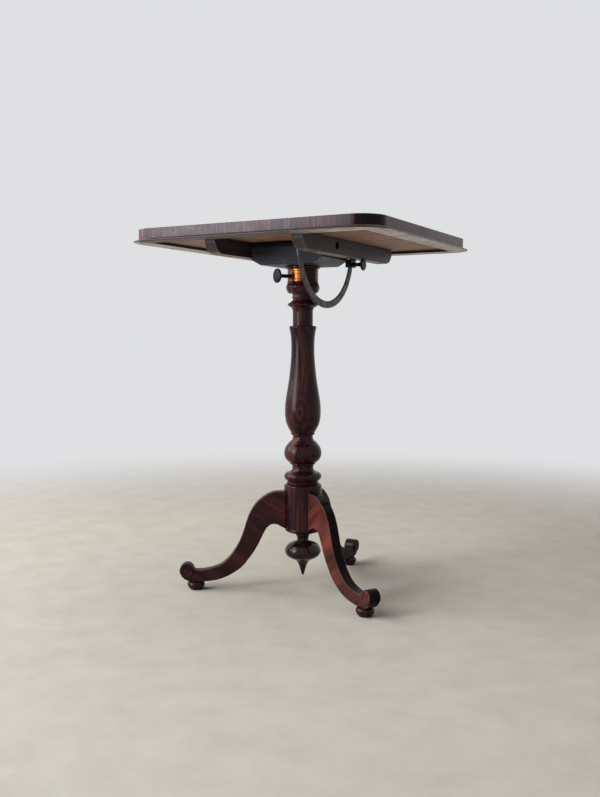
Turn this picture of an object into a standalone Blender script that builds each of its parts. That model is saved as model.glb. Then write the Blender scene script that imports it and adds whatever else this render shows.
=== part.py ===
"""A reading stand: a tilting top on a turned column with three scroll legs.

Metres, +Z up. The origin is on the floor, under the middle of the top.
The reader sits on the -Y side. The column stands COLUMN_Y from the origin, and
every place below is measured from the column's axis and from the floor.
"""

from math import cos, pi, radians, sin

import bmesh
import bpy
from mathutils import Matrix, Vector

# Clearances and finish
GAP = 0.0003
OVERRUN = 0.004
EDGE = 0.0008
MERGE = 0.00001

# Facets
FINE = 24
MEDIUM = 20
COARSE = 8
ARC_STEPS = 6
LONG_TURNING = 0.1
SHARP = radians(40)
FLAT = radians(0.5)

# The top: a board faced round its edge, on a rim frame with a small lip
TOP_HEIGHT = 0.7328
LIP_WIDTH = 0.5425
LIP_DEPTH = 0.5275
LIP_REACH = 0.010
LIP_NOSE = 0.0024
CORNER_RADIUS = 0.048
TOP_SETBACK = 0.0218
BOARD_THICKNESS = 0.0189
RIM_THICKNESS = 0.0060
RIM_WIDTH = 0.031
FACING_THICKNESS = 0.0025

BOARD_BOTTOM = TOP_HEIGHT - BOARD_THICKNESS
RIM_TOP = BOARD_BOTTOM - GAP
RIM_BOTTOM = RIM_TOP - RIM_THICKNESS
FACE_WIDTH = LIP_WIDTH - 2 * LIP_REACH
FACE_DEPTH = LIP_DEPTH - 2 * LIP_REACH

# The bearers under the top. A screw's sizes are its shank's radius, and its head's radius and length.
BEARER_INNER_X = 0.0825
BEARER_THICKNESS = 0.024
BEARER_FRONT_GAP = 0.003
BEARER_BACK_GAP = 0.031
BEARER_HEIGHT = 0.0319
BEARER_NOSE_LENGTH = 0.030
BEARER_NOSE_HEIGHT = 0.0245
BEARER_SCREW_SHARES = (0.17, 0.535, 0.9)
BEARER_SCREW = (0.0022, 0.0042, 0.0042)
BEARER_SCREW_SINK = 0.012
BEARER_SCREW_BITE = 0.011

# The pivot, and the block between the bearers
PIVOT_Y = -0.058
PIVOT_DROP = 0.0138
PIVOT_RADIUS = 0.0045
PIVOT_HEAD_RADIUS = 0.0068
PIVOT_HEAD_LENGTH = 0.004
PIVOT_SINK = 0.007
PIVOT_BITE = 0.026
COUNTERBORE_RADIUS = 0.0082
BLOCK_HALF_WIDTH = 0.0805
BLOCK_FOOT_HALF_WIDTH = 0.0585
BLOCK_HEIGHT = 0.0464
BLOCK_BEVEL = 0.0115
BLOCK_BACK = 0.046

# The iron arc and the clamp that it slides through
ARC_OUTER = 0.120
ARC_INNER = 0.1065
ARC_THICKNESS = 0.0035
ARC_INSET = 0.001
ARC_ANGLES = (179.5, 348.0)
ARC_FACETS = 30
ARC_REBATE_ANGLES = (178.5, 200.0)
ARC_SCREW_ANGLES = (182.5, 187.0)
SMALL_SCREW = (0.0014, 0.0024, 0.0016)
ARC_SCREW_BITE = 0.009
CLAMP_DEPTH = 0.0240
CLAMP_HEIGHT = 0.0160
CLAMP_CLEARANCE = 0.0006
CLAMP_INNER_WALL = 0.0042
CLAMP_OUTER_WALL = 0.0050
CLAMP_SLOT_ANGLES = (330.0, 362.0)
CLAMP_SLOT_FACETS = 8
CLAMP_PLATE_FRONT = 0.010
CLAMP_PLATE_THICKNESS = 0.0028
CLAMP_PLATE_LAP = 0.0022
CLAMP_PLATE_HEIGHT = 0.0140
BRACKET_SCREW_YS = (0.0165, 0.0300)
BRACKET_SCREW_BITE = 0.012

# Thumbscrews: collar screw, then clamp screw
THUMB_SHANK = 0.0038
COLLAR_DISC_RADIUS = 0.0145
COLLAR_DISC_REACH = 0.0635
COLLAR_SCREW_DROP = 0.0152
COLLAR_SCREW_TURN = 241.0
CLAMP_DISC_RADIUS = 0.0125
CLAMP_DISC_REACH = 0.1140
CLAMP_SCREW_ANGLE = 14.7
DISC_THICKNESS = 0.0046
FLARE_LENGTH = 0.0085
FLARE_RADIUS = 0.0068

# The head flange, the pole and the collar
FLANGE_RADIUS = 0.035
FLANGE_THICKNESS = 0.0050
FLANGE_SCREW_CIRCLE = 0.0235
FLANGE_SCREW = (0.0022, 0.0038, 0.0022)
FLANGE_SCREW_BITE = 0.016
POLE_RADIUS = 0.011
POLE_TENON = 0.022
POLE_LENGTH = 0.389
COLLAR_RADIUS = 0.0313
COLLAR_HEIGHT = 0.0258
COLLAR_BUSH_RADIUS = 0.0155
COLLAR_BUSH_LENGTH = 0.022
COLLAR_GROOVE = 0.001

PIVOT_Z = RIM_TOP - PIVOT_DROP
BLOCK_BOTTOM = RIM_TOP - BLOCK_HEIGHT
FLANGE_TOP = BLOCK_BOTTOM - GAP
FLANGE_BOTTOM = FLANGE_TOP - FLANGE_THICKNESS
COLLAR_TOP = FLANGE_BOTTOM - GAP
COLLAR_SCREW_Z = COLLAR_TOP - COLLAR_SCREW_DROP
COLUMN_TOP = COLLAR_TOP - COLLAR_HEIGHT - GAP
POLE_BORE = (POLE_RADIUS + GAP) / cos(pi / FINE)

# The column, from the top down: the height and greatest radius of each turning, and its outline
# as shares of the two. The vase takes up the height that the rest leaves.
CAPITAL_SHARES = ((0, 0.92), (0.14, 0.93), (0.46, 1), (0.82, 0.93), (1, 0.83))
NECK_BEAD_SHARES = ((0, 0.96), (0.22, 0.9), (0.5, 0.93), (0.75, 0.88), (1, 1))
RING_SHARES = (
    (0, 0.775), (0.14, 0.85), (0.28, 0.955), (0.44, 1), (0.6, 0.965), (0.76, 0.885), (0.9, 0.77), (1, 0.71),
)
COVE_SHARES = ((0, 1), (0.5, 0.93), (1, 0.907))
PLAIN_SHARES = ((0, 1), (1, 1))
VASE_SHARES = (
    (0, 0.71), (0.012, 0.748), (0.05, 0.703), (0.11, 0.655), (0.2, 0.636), (0.3, 0.652), (0.4, 0.702),
    (0.5, 0.768), (0.6, 0.863), (0.7, 0.957), (0.77, 0.992), (0.83, 0.99), (0.885, 0.947), (0.93, 0.862),
    (0.97, 0.743), (1, 0.636),
)
SMALL_BEAD_SHARES = ((0, 0.93), (0.3, 1), (0.7, 1), (1, 0.91))
LOWER_NECK_SHARES = ((0, 0.865), (0.25, 0.843), (0.5, 0.863), (0.76, 0.91), (1, 1))
BALL_SHARES = (
    (0, 0.69), (0.1, 0.77), (0.2, 0.872), (0.32, 0.945), (0.45, 0.988), (0.56, 1), (0.68, 0.985),
    (0.8, 0.93), (0.9, 0.85), (1, 0.72),
)
SPOOL_SHARES = ((0, 0.87), (0.3, 0.838), (0.6, 0.848), (0.82, 0.89), (1, 0.98))
TORUS_SHARES = (
    (0, 0.69), (0.07, 0.76), (0.16, 0.89), (0.28, 0.953), (0.4, 0.99), (0.52, 1), (0.66, 0.98), (0.8, 0.935),
    (0.9, 0.89), (1, 0.82),
)
BAND_SHARES = ((0, 0.9), (0.05, 0.948), (0.1, 0.98), (0.17, 1), (1, 1))
UPPER_TURNINGS = (
    (0.0230, 0.0346, CAPITAL_SHARES),
    (0.0167, 0.0236, NECK_BEAD_SHARES),
    (0.0131, 0.0313, RING_SHARES),
    (0.0090, 0.0226, COVE_SHARES),
    (0.0275, 0.0207, PLAIN_SHARES),
)
VASE_RADIUS = 0.0374
LOWER_TURNINGS = (
    (0.0040, 0.0248, SMALL_BEAD_SHARES),
    (0.0134, 0.0245, LOWER_NECK_SHARES),
    (0.0438, 0.0387, BALL_SHARES),
    (0.0044, 0.0262, SMALL_BEAD_SHARES),
    (0.0140, 0.0262, SPOOL_SHARES),
    (0.0204, 0.0388, TORUS_SHARES),
    (0.0022, 0.0314, PLAIN_SHARES),
    (0.0040, 0.0334, SMALL_BEAD_SHARES),
)
BAND_HEIGHT = 0.0221
BAND_RADIUS = 0.0388
BODY_HEIGHT = 0.0706
BODY_RADIUS = 0.0368

# The base cap and the drop finial
CAP_HEIGHT = 0.0080
CAP_RADIUS = 0.0373
CAP_SHARES = ((0, 0.985), (0.25, 1), (0.55, 0.965), (0.8, 0.88), (1, 0.76))
DOWEL_RADIUS = 0.008
DOWEL_LENGTH = 0.045
FINIAL_NECK_SHARES = ((0, 1), (0.34, 0.945), (0.455, 0.885), (0.57, 0.815), (0.75, 0.785), (1, 0.785))
FINIAL_BALL_SHARES = (
    (0, 0.34), (0.03, 0.43), (0.1, 0.63), (0.18, 0.79), (0.28, 0.895), (0.4, 0.975), (0.55, 1), (0.68, 0.965),
    (0.78, 0.895), (0.87, 0.77), (0.95, 0.6), (1, 0.47),
)
FINIAL_DROP_SHARES = ((0, 1), (0.1, 0.82), (0.25, 0.6), (0.45, 0.44), (0.7, 0.29), (0.9, 0.19), (1, 0.08))
FINIAL_TURNINGS = (
    (0.0178, 0.0150, FINIAL_NECK_SHARES),
    (0.0398, 0.0373, FINIAL_BALL_SHARES),
    (0.0330, 0.0165, FINIAL_DROP_SHARES),
)

# The legs: LEG_LENGTH is from the column's axis to the scroll's, and LEG_RISE is the root's top.
# The side outline is in shares of the two.
LEG_TURNS = {"back": 90.0, "left": 210.0, "right": 330.0}
LEG_LENGTH = 0.2408
LEG_RISE = 0.205
LEG_THICKNESS = 0.021
LEG_ARRIS = 0.0018
LEG_UPPER_SHARES = (
    (0.2, 1), (0.25, 0.995), (0.31, 0.966), (0.37, 0.918), (0.42, 0.855), (0.458, 0.78),
    (0.482, 0.708), (0.525, 0.551), (0.57, 0.438), (0.63, 0.338), (0.7, 0.262), (0.78, 0.221),
    (0.86, 0.203), (0.92, 0.199),
)
LEG_LOWER_SHARES = (
    (0.84, 0.086), (0.74, 0.102), (0.654, 0.137), (0.581, 0.186), (0.519, 0.241), (0.471, 0.31),
    (0.428, 0.38), (0.392, 0.449), (0.361, 0.522), (0.337, 0.58), (0.313, 0.629),
    (0.282, 0.66), (0.252, 0.67), (0.222, 0.665), (0.19, 0.645),
)
LEG_ROOT_SHARE = 0.621
LEG_HEEL_SHARES = ((1.045, 0.136), (1.02, 0.108), (0.99, 0.091))
LEG_SEAT_HALF = 0.011
SCROLL_RADIUS = 0.015
SCROLL_HEIGHT_SHARE = 0.197
SCROLL_HALF_WIDTH = 0.0128
SCROLL_DISH = 0.0009
SCROLL_EYE_RADIUS = 0.0098
SCROLL_ANGLES = (168.0, -28.0)
TONGUE_LENGTH = 0.012
TONGUE_ROOT = 0.010
TONGUE_TIP = 0.014
TONGUE_SHOULDER = 0.010

# The feet
FOOT_SETBACK = 0.0183
FOOT_HEIGHT = 0.0167
FOOT_RADIUS = 0.0183
FOOT_SHARES = ((0, 0.72), (0.04, 0.86), (0.2, 0.97), (0.42, 1), (0.75, 0.86), (1, 0.68))
PEG_RADIUS = 0.0045
PEG_LENGTH = 0.012

# Places that follow from the sizes above
RIM_INNER_FRONT = TOP_SETBACK - FACE_DEPTH / 2 + RIM_WIDTH
RIM_INNER_BACK = TOP_SETBACK + FACE_DEPTH / 2 - RIM_WIDTH
BEARER_FRONT = RIM_INNER_FRONT + BEARER_FRONT_GAP
BEARER_BACK = RIM_INNER_BACK - BEARER_BACK_GAP
BEARER_OUTER_X = BEARER_INNER_X + BEARER_THICKNESS
BEARER_BOTTOM = BOARD_BOTTOM - BEARER_HEIGHT
ARC_LOW_X = BEARER_INNER_X - ARC_INSET
ARC_HIGH_X = ARC_LOW_X + ARC_THICKNESS
ARC_MIDDLE = (ARC_INNER + ARC_OUTER) / 2
CLAMP_LOW_X = ARC_LOW_X - GAP - CLAMP_INNER_WALL
CLAMP_HIGH_X = ARC_HIGH_X + GAP + CLAMP_OUTER_WALL
CLAMP_SCREW_Y = PIVOT_Y + ARC_MIDDLE * cos(radians(CLAMP_SCREW_ANGLE))
CLAMP_SCREW_Z = PIVOT_Z - ARC_MIDDLE * sin(radians(CLAMP_SCREW_ANGLE))
CLAMP_FRONT = CLAMP_SCREW_Y - CLAMP_DEPTH / 2
CLAMP_BACK = CLAMP_SCREW_Y + CLAMP_DEPTH / 2
CLAMP_TOP = BEARER_BOTTOM - CLAMP_CLEARANCE
CLAMP_BOTTOM = CLAMP_TOP - CLAMP_HEIGHT
CLAMP_PLATE_BOTTOM = CLAMP_TOP - CLAMP_PLATE_LAP
CLAMP_PLATE_TOP = CLAMP_PLATE_BOTTOM + CLAMP_PLATE_HEIGHT
POLE_TOP = BLOCK_BOTTOM + POLE_TENON
POLE_BOTTOM = POLE_TOP - POLE_LENGTH
COLUMN_FOOT = LEG_RISE * LEG_ROOT_SHARE
BAND_BOTTOM = COLUMN_FOOT + BODY_HEIGHT
BAND_TOP = BAND_BOTTOM + BAND_HEIGHT
VASE_HEIGHT = COLUMN_TOP - BAND_TOP - sum(turning[0] for turning in UPPER_TURNINGS + LOWER_TURNINGS)
COLUMN_TURNINGS = (
    *UPPER_TURNINGS, (VASE_HEIGHT, VASE_RADIUS, VASE_SHARES), *LOWER_TURNINGS,
    (BAND_HEIGHT, BAND_RADIUS, BAND_SHARES), (BODY_HEIGHT, BODY_RADIUS, PLAIN_SHARES),
)
CAP_TOP = COLUMN_FOOT - GAP
FINIAL_TOP = CAP_TOP - CAP_HEIGHT - GAP
DOWEL_TOP = FINIAL_TOP + DOWEL_LENGTH
TONGUE_TOP = LEG_RISE - TONGUE_SHOULDER
SCROLL_HEIGHT = LEG_RISE * SCROLL_HEIGHT_SHARE
FOOT_CIRCLE = LEG_LENGTH - FOOT_SETBACK
LEG_SEAT = FOOT_HEIGHT + GAP

# The column's place, which sets the top's middle over the origin
COLUMN_Y = -TOP_SETBACK

# The lip's cove as shares of its reach and of its height over the nose, from the top down
LIP_SHARES = ((0, 1), (0.16, 1), (0.28, 0.62), (0.5, 0.3), (0.78, 0.08), (0.94, 0))

# The top's sides: the turn that brings each to the front, and the width and depth seen from there
SIDES = {
    "front": (0, FACE_WIDTH, FACE_DEPTH),
    "right": (90, FACE_DEPTH, FACE_WIDTH),
    "back": (180, FACE_WIDTH, FACE_DEPTH),
    "left": (270, FACE_DEPTH, FACE_WIDTH),
}

# How a flat outline's own axes lie in the stand
PLANES = {
    "XY": Matrix.Identity(4),
    "YZ": Matrix(((0, 0, 1, 0), (1, 0, 0, 0), (0, 1, 0, 0), (0, 0, 0, 1))),
    "XZ": Matrix(((1, 0, 0, 0), (0, 0, 1, 0), (0, 1, 0, 0), (0, 0, 0, 1))),
}


def clear_scene():
    for old in list(bpy.data.objects):
        bpy.data.objects.remove(old, do_unlink=True)


def collection(name, hidden):
    """A new collection in the scene."""
    made = bpy.data.collections.new(name)
    made.hide_render = hidden
    bpy.context.scene.collection.children.link(made)
    return made


def material(name, colour, roughness, metallic=0.0):
    made = bpy.data.materials.new(name)
    made.use_nodes = True
    shader = made.node_tree.nodes["Principled BSDF"]
    shader.inputs["Base Color"].default_value = (*colour, 1.0)
    shader.inputs["Roughness"].default_value = roughness
    shader.inputs["Metallic"].default_value = metallic
    made.diffuse_color = (*colour, 1.0)
    return made


def add_object(name, mesh, look):
    """A part when it has a look, and otherwise a cutter."""
    made = bpy.data.objects.new(name, mesh)
    if look is None:
        CUTTERS.objects.link(made)
        made.hide_render = True
        made.display_type = "WIRE"
    else:
        PARTS.objects.link(made)
        mesh.materials.append(look)
    return made


def mesh_of(bm, name):
    bmesh.ops.recalc_face_normals(bm, faces=bm.faces)
    mesh = bpy.data.meshes.new(name)
    bm.to_mesh(mesh)
    bm.free()
    return mesh


def box(name, low, high, look=None):
    """A box between two corners."""
    bm = bmesh.new()
    bmesh.ops.create_cube(bm, size=1.0)
    size = Vector(high) - Vector(low)
    middle = (Vector(high) + Vector(low)) / 2
    place = Matrix.Translation(middle) @ Matrix.Diagonal((*size, 1.0))
    bmesh.ops.transform(bm, matrix=place, verts=bm.verts)
    return add_object(name, mesh_of(bm, name), look)


def rods(name, spans, radius, facets=COARSE, look=None):
    """Round rods, one for each span between two points."""
    bm = bmesh.new()
    for start, end in spans:
        along = Vector(end) - Vector(start)
        turn = Vector((0, 0, 1)).rotation_difference(along).to_matrix().to_4x4()
        seat = Matrix.Translation((Vector(start) + Vector(end)) / 2) @ turn
        bmesh.ops.create_cone(
            bm, cap_ends=True, segments=facets, radius1=radius, radius2=radius,
            depth=along.length, matrix=seat,
        )
    mesh = mesh_of(bm, name)
    mesh.shade_smooth()
    mesh.set_sharp_from_angle(angle=SHARP)
    return add_object(name, mesh, look)


def bores(name, spans, radius, facets=COARSE):
    """Round holes for shafts of this radius: their flats keep the gap to the shaft."""
    return rods(name, spans, (radius + GAP) / cos(pi / facets), facets)


def screw(name, head, tip, radius, head_radius, head_length, look, facets=COARSE):
    """A wood screw, from its head's face to its tip."""
    length = (Vector(tip) - Vector(head)).length
    outline = (
        (0, 0), (head_radius, 0), (head_radius, head_length / 2), (radius, head_length),
        (radius, length - radius), (0, length),
    )
    return spun(name, outline, head, tip, facets, look)


def spun(name, outline, start, end, facets, look=None):
    """An outline of (radius, distance) points, turned about the line from start to end."""
    turn = Vector((0, 0, 1)).rotation_difference(Vector(end) - Vector(start)).to_matrix().to_4x4()
    bm = bmesh.new()
    points = [bm.verts.new((r, 0, z)) for r, z in outline]
    lines = [bm.edges.new(pair) for pair in zip(points, points[1:])]
    bmesh.ops.spin(bm, geom=points + lines, axis=(0, 0, 1), angle=2 * pi, steps=facets, use_merge=True)
    bmesh.ops.remove_doubles(bm, verts=bm.verts, dist=MERGE)
    bmesh.ops.transform(bm, matrix=Matrix.Translation(start) @ turn, verts=bm.verts)
    mesh = mesh_of(bm, name)
    mesh.shade_smooth()
    mesh.set_sharp_from_angle(angle=SHARP)
    return add_object(name, mesh, look)


def plate(name, outline, low, high, look=None, plane="XY"):
    """A flat outline in a plane, thick from low to high along the axis that the plane leaves out."""
    curve = bpy.data.curves.new(name, "CURVE")
    curve.dimensions = "2D"
    curve.fill_mode = "BOTH"
    curve.extrude = (high - low) / 2
    spline = curve.splines.new("POLY")
    spline.points.add(len(outline) - 1)
    for point, (x, y) in zip(spline.points, outline):
        point.co = (x, y, 0, 1)
    spline.use_cyclic_u = True
    guide = bpy.data.objects.new(name, curve)
    CUTTERS.objects.link(guide)
    graph = bpy.context.evaluated_depsgraph_get()
    mesh = bpy.data.meshes.new_from_object(guide.evaluated_get(graph))
    bpy.data.objects.remove(guide, do_unlink=True)
    mesh.name = name
    mesh.transform(Matrix.Translation((0, 0, (low + high) / 2)))
    mesh.transform(PLANES[plane])
    bm = bmesh.new()
    bm.from_mesh(mesh)
    bmesh.ops.remove_doubles(bm, verts=bm.verts, dist=MERGE)
    bmesh.ops.dissolve_limit(bm, angle_limit=FLAT, verts=bm.verts, edges=bm.edges)
    bmesh.ops.recalc_face_normals(bm, faces=bm.faces)
    bm.to_mesh(mesh)
    bm.free()
    mesh.materials.clear()
    return add_object(name, mesh, look)


def turned(name, outline, look=None, facets=FINE, ring=False):
    """An outline of (radius, z) points from the top down, turned about Z. A ring's outline closes."""
    mesh = bpy.data.meshes.new(name)
    count = len(outline)
    lines = [(i, i + 1) for i in range(count - 1)]
    if ring:
        lines.append((count - 1, 0))
    mesh.from_pydata([(r, 0, z) for r, z in outline], lines, [])
    made = add_object(name, mesh, look)
    screw = made.modifiers.new("Turning", "SCREW")
    screw.axis = "Z"
    screw.steps = facets
    screw.render_steps = facets
    screw.use_merge_vertices = True
    screw.merge_threshold = MERGE
    screw.use_smooth_shade = True
    return made


def boolean(piece, other, operation):
    cut = piece.modifiers.new(operation.title(), "BOOLEAN")
    cut.operation = operation
    cut.solver = "EXACT"
    cut.object = other
    return piece


def cut(piece, *cutters):
    for cutter in cutters:
        boolean(piece, cutter, "DIFFERENCE")
    return piece


def join(piece, *others):
    for other in others:
        boolean(piece, other, "UNION")
    return piece


def soften(piece, width=EDGE):
    """Small chamfers along the sharp edges."""
    bevel = piece.modifiers.new("Arris", "BEVEL")
    bevel.width = width
    bevel.segments = 1
    bevel.limit_method = "ANGLE"
    bevel.angle_limit = SHARP
    return piece


def smooth(points, steps):
    """A smooth curve through the points."""
    path = []
    last = len(points) - 1
    for i in range(last):
        before, start = Vector(points[max(i - 1, 0)]), Vector(points[i])
        end, after = Vector(points[i + 1]), Vector(points[min(i + 2, last)])
        for step in range(steps):
            t = step / steps
            path.append(
                (
                    start * 2 + (end - before) * t
                    + (before * 2 - start * 5 + end * 4 - after) * t**2
                    + (start * 3 - before - end * 3 + after) * t**3
                ) / 2
            )
    path.append(Vector(points[-1]))
    return [tuple(point) for point in path]


def turning_outline(turnings, top):
    """The stacked turnings' outline as (radius, z) points, from the top down."""
    outline = []
    for height, radius, shares in turnings:
        steps = 2 if height > LONG_TURNING else 1
        outline += smooth([(r * radius, top - t * height) for t, r in shares], steps)
        top -= height
    return outline


def band(inner, outer, start, end, steps):
    """A round band about the tilt's pivot, as (y, z) points, with the angles in degrees from +Y."""
    pivot = (PIVOT_Y, PIVOT_Z)
    return arc(pivot, outer, start, end, steps) + arc(pivot, inner, end, start, steps)


def arc(centre, radius, start, end, steps=ARC_STEPS):
    """Points along a round stretch, with the angles in degrees from the first axis."""
    turns = [radians(start + (end - start) * i / steps) for i in range(steps + 1)]
    return [(centre[0] + radius * cos(a), centre[1] + radius * sin(a)) for a in turns]


def rounded(width, depth, radius, middle_y, steps=ARC_STEPS):
    """A rectangle with round corners, about (0, middle_y)."""
    x, y = width / 2 - radius, depth / 2 - radius
    corners = ((x, y, 0), (-x, y, 90), (-x, -y, 180), (x, -y, 270))
    return [p for cx, cy, a in corners for p in arc((cx, cy + middle_y), radius, a, a + 90, steps)]


def empty(name, place, on=None, turn=(0, 0, 0)):
    """An axis that pieces hang on, at a place measured from the column's axis."""
    made = bpy.data.objects.new(name, None)
    PARTS.objects.link(made)
    made["place"] = place
    made.parent = on
    made.location = Vector(place) - Vector(on["place"]) if on else Vector((0, COLUMN_Y, 0))
    made.rotation_euler = [radians(angle) for angle in turn]
    return made


def hang(axis, piece, at=(0, 0, 0), turn=0.0, own=False):
    """Puts a piece and its cutters at a place, measured from the column's axis or from their own."""
    piece.parent = axis
    piece.location = Vector(at) - (Vector((0, 0, 0)) if own else Vector(axis["place"]))
    piece.rotation_euler.z = radians(turn)
    for modifier in piece.modifiers:
        if modifier.type == "BOOLEAN" and modifier.object.parent is None:
            hang(axis, modifier.object, at, turn, own)
    return piece


def make_column(stand, leg_axes, wood):
    """The post, bored for the pole and its bush, with a dowel hole and a slot for each leg."""
    bush_seat = COLUMN_TOP - COLLAR_BUSH_LENGTH - GAP
    bore_floor = POLE_BOTTOM - GAP
    bush_bore = COLLAR_BUSH_RADIUS + GAP
    hole = DOWEL_RADIUS + GAP
    outline = [(0, bore_floor), (POLE_BORE, bore_floor), (POLE_BORE, bush_seat)]
    outline += [(bush_bore, bush_seat), (bush_bore, COLUMN_TOP)]
    outline += turning_outline(COLUMN_TURNINGS, COLUMN_TOP)
    outline += [(hole, COLUMN_FOOT), (hole, DOWEL_TOP + GAP), (0, DOWEL_TOP + GAP)]
    column = turned("column", outline, wood)
    for place, axis in leg_axes.items():
        slot = dovetail(f"slot_{place}", GAP, OVERRUN, COLUMN_FOOT - OVERRUN, TONGUE_TOP + GAP)
        hang(axis, slot)
        cut(column, slot)
    hang(stand, column)


def dovetail(name, extra, outward, low, high):
    """A dovetail tongue along +X: its root at the column's face, widening inwards."""
    slope = (TONGUE_TIP - TONGUE_ROOT) / 2 / TONGUE_LENGTH
    inner, outer = BODY_RADIUS - TONGUE_LENGTH - extra, BODY_RADIUS + outward
    half_inner = TONGUE_ROOT / 2 + (BODY_RADIUS - inner) * slope + extra
    half_outer = TONGUE_ROOT / 2 + (BODY_RADIUS - outer) * slope + extra
    outline = ((inner, -half_inner), (outer, -half_outer), (outer, half_outer), (inner, half_inner))
    return plate(name, outline, low, high)


def make_collar(stand, brass):
    """The brass collar and its bush, with a tapped hole for the thumbscrew."""
    groove = COLLAR_SCREW_Z + THUMB_SHANK
    outline = (
        (POLE_BORE, COLLAR_TOP), (COLLAR_RADIUS - EDGE, COLLAR_TOP), (COLLAR_RADIUS, COLLAR_TOP - EDGE),
        (COLLAR_RADIUS, groove + EDGE), (COLLAR_RADIUS - COLLAR_GROOVE, groove),
        (COLLAR_RADIUS, groove - EDGE), (COLLAR_RADIUS, COLUMN_TOP + GAP),
        (COLLAR_BUSH_RADIUS, COLUMN_TOP + GAP), (COLLAR_BUSH_RADIUS, COLUMN_TOP - COLLAR_BUSH_LENGTH),
        (POLE_BORE, COLUMN_TOP - COLLAR_BUSH_LENGTH),
    )
    collar = turned("collar", outline, brass, ring=True)
    turn = radians(COLLAR_SCREW_TURN)
    reach = COLLAR_RADIUS + OVERRUN
    start = (0, 0, COLLAR_SCREW_Z)
    end = (reach * cos(turn), reach * sin(turn), COLLAR_SCREW_Z)
    hang(stand, cut(collar, bores("collar_screw_hole", [(start, end)], THUMB_SHANK)))


def make_thumbscrew(name, axis, tip, reach, disc_radius, iron):
    """A thumbscrew along its own +Z: a flat disc, a flare and a shank down to its tip."""
    disc_foot = reach - DISC_THICKNESS
    outline = (
        (0, reach), (disc_radius - EDGE, reach), (disc_radius, reach - EDGE),
        (disc_radius, disc_foot + EDGE), (disc_radius - EDGE, disc_foot), (FLARE_RADIUS, disc_foot),
        ((FLARE_RADIUS + THUMB_SHANK) / 2, disc_foot - FLARE_LENGTH / 3),
        (THUMB_SHANK, disc_foot - FLARE_LENGTH), (THUMB_SHANK, tip + EDGE),
        (THUMB_SHANK - EDGE, tip), (0, tip),
    )
    hang(axis, turned(name, outline, iron, facets=MEDIUM), own=True)


def make_cap_and_finial(stand, wood, dark_wood):
    """The disc under the column's foot, and the drop finial whose dowel passes through it."""
    hole = DOWEL_RADIUS + GAP
    outline = [(hole, CAP_TOP)]
    outline += turning_outline(((CAP_HEIGHT, CAP_RADIUS, CAP_SHARES),), CAP_TOP)
    outline.append((hole, CAP_TOP - CAP_HEIGHT))
    hang(stand, turned("base_cap", outline, dark_wood, ring=True))
    outline = [(0, DOWEL_TOP), (DOWEL_RADIUS, DOWEL_TOP), (DOWEL_RADIUS, FINIAL_TOP)]
    outline += turning_outline(FINIAL_TURNINGS, FINIAL_TOP)
    outline.append((0, outline[-1][1] - EDGE))
    hang(stand, turned("finial", outline, wood))


def leg_outline():
    """The leg's side outline, as (distance from the column's axis, height) points."""
    root = BODY_RADIUS - EDGE
    scroll = (LEG_LENGTH, SCROLL_HEIGHT)
    upper = [(x * LEG_LENGTH, z * LEG_RISE) for x, z in LEG_UPPER_SHARES]
    heel = [(x * LEG_LENGTH, z * LEG_RISE) for x, z in LEG_HEEL_SHARES]
    lower = [(x * LEG_LENGTH, z * LEG_RISE) for x, z in LEG_LOWER_SHARES]
    seat = [(FOOT_CIRCLE + LEG_SEAT_HALF, LEG_SEAT), (FOOT_CIRCLE - LEG_SEAT_HALF, LEG_SEAT)]
    roll = arc(scroll, SCROLL_RADIUS, *SCROLL_ANGLES, 2 * ARC_STEPS)
    return [(root, LEG_RISE)] + upper + roll + heel + seat + lower + [(root, COLUMN_FOOT)]


def make_leg(place, axis, wood):
    """A scroll leg along +X of its axis, with a dovetail tongue, a wider roll and a peg hole."""
    half = LEG_THICKNESS / 2
    leg = soften(plate(f"leg_{place}", leg_outline(), -half, half, wood, plane="XZ"), LEG_ARRIS)
    top, foot = LEG_RISE + OVERRUN, CAP_TOP - CAP_HEIGHT
    shoulder = (
        (0, top), (BAND_RADIUS + GAP, top), (BAND_RADIUS + GAP, BAND_BOTTOM - GAP),
        (BODY_RADIUS + GAP, BAND_BOTTOM - GAP), (BODY_RADIUS + GAP, COLUMN_FOOT),
        (CAP_RADIUS + GAP, COLUMN_FOOT), (CAP_RADIUS + GAP, foot), (0, foot),
    )
    cut(leg, turned(f"shoulder_{place}", shoulder, facets=FINE))
    join(leg, dovetail(f"tongue_{place}", 0, EDGE, COLUMN_FOOT + GAP, TONGUE_TOP))
    side = SCROLL_HALF_WIDTH
    eye = side - SCROLL_DISH
    roll = [((LEG_LENGTH, -side, SCROLL_HEIGHT), (LEG_LENGTH, side, SCROLL_HEIGHT))]
    eyes = [
        ((LEG_LENGTH, sign * eye, SCROLL_HEIGHT), (LEG_LENGTH, sign * (side + OVERRUN), SCROLL_HEIGHT))
        for sign in (-1, 1)
    ]
    join(leg, soften(rods(f"roll_{place}", roll, SCROLL_RADIUS, MEDIUM)))
    cut(leg, rods(f"eyes_{place}", eyes, SCROLL_EYE_RADIUS, MEDIUM))
    start, end = LEG_SEAT - OVERRUN, FOOT_HEIGHT + PEG_LENGTH + GAP
    peg_hole = [((FOOT_CIRCLE, 0, start), (FOOT_CIRCLE, 0, end))]
    cut(leg, bores(f"peg_hole_{place}", peg_hole, PEG_RADIUS))
    hang(axis, leg)


def make_foot(place, axis, wood):
    """A turned pad with a peg up into the leg."""
    peg_top = FOOT_HEIGHT + PEG_LENGTH
    outline = [(0, peg_top), (PEG_RADIUS, peg_top), (PEG_RADIUS, FOOT_HEIGHT)]
    outline += turning_outline(((FOOT_HEIGHT, FOOT_RADIUS, FOOT_SHARES),), FOOT_HEIGHT)
    outline.append((0, 0))
    hang(axis, turned(f"foot_{place}", outline, wood, facets=MEDIUM), at=(FOOT_CIRCLE, 0, 0))


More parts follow.
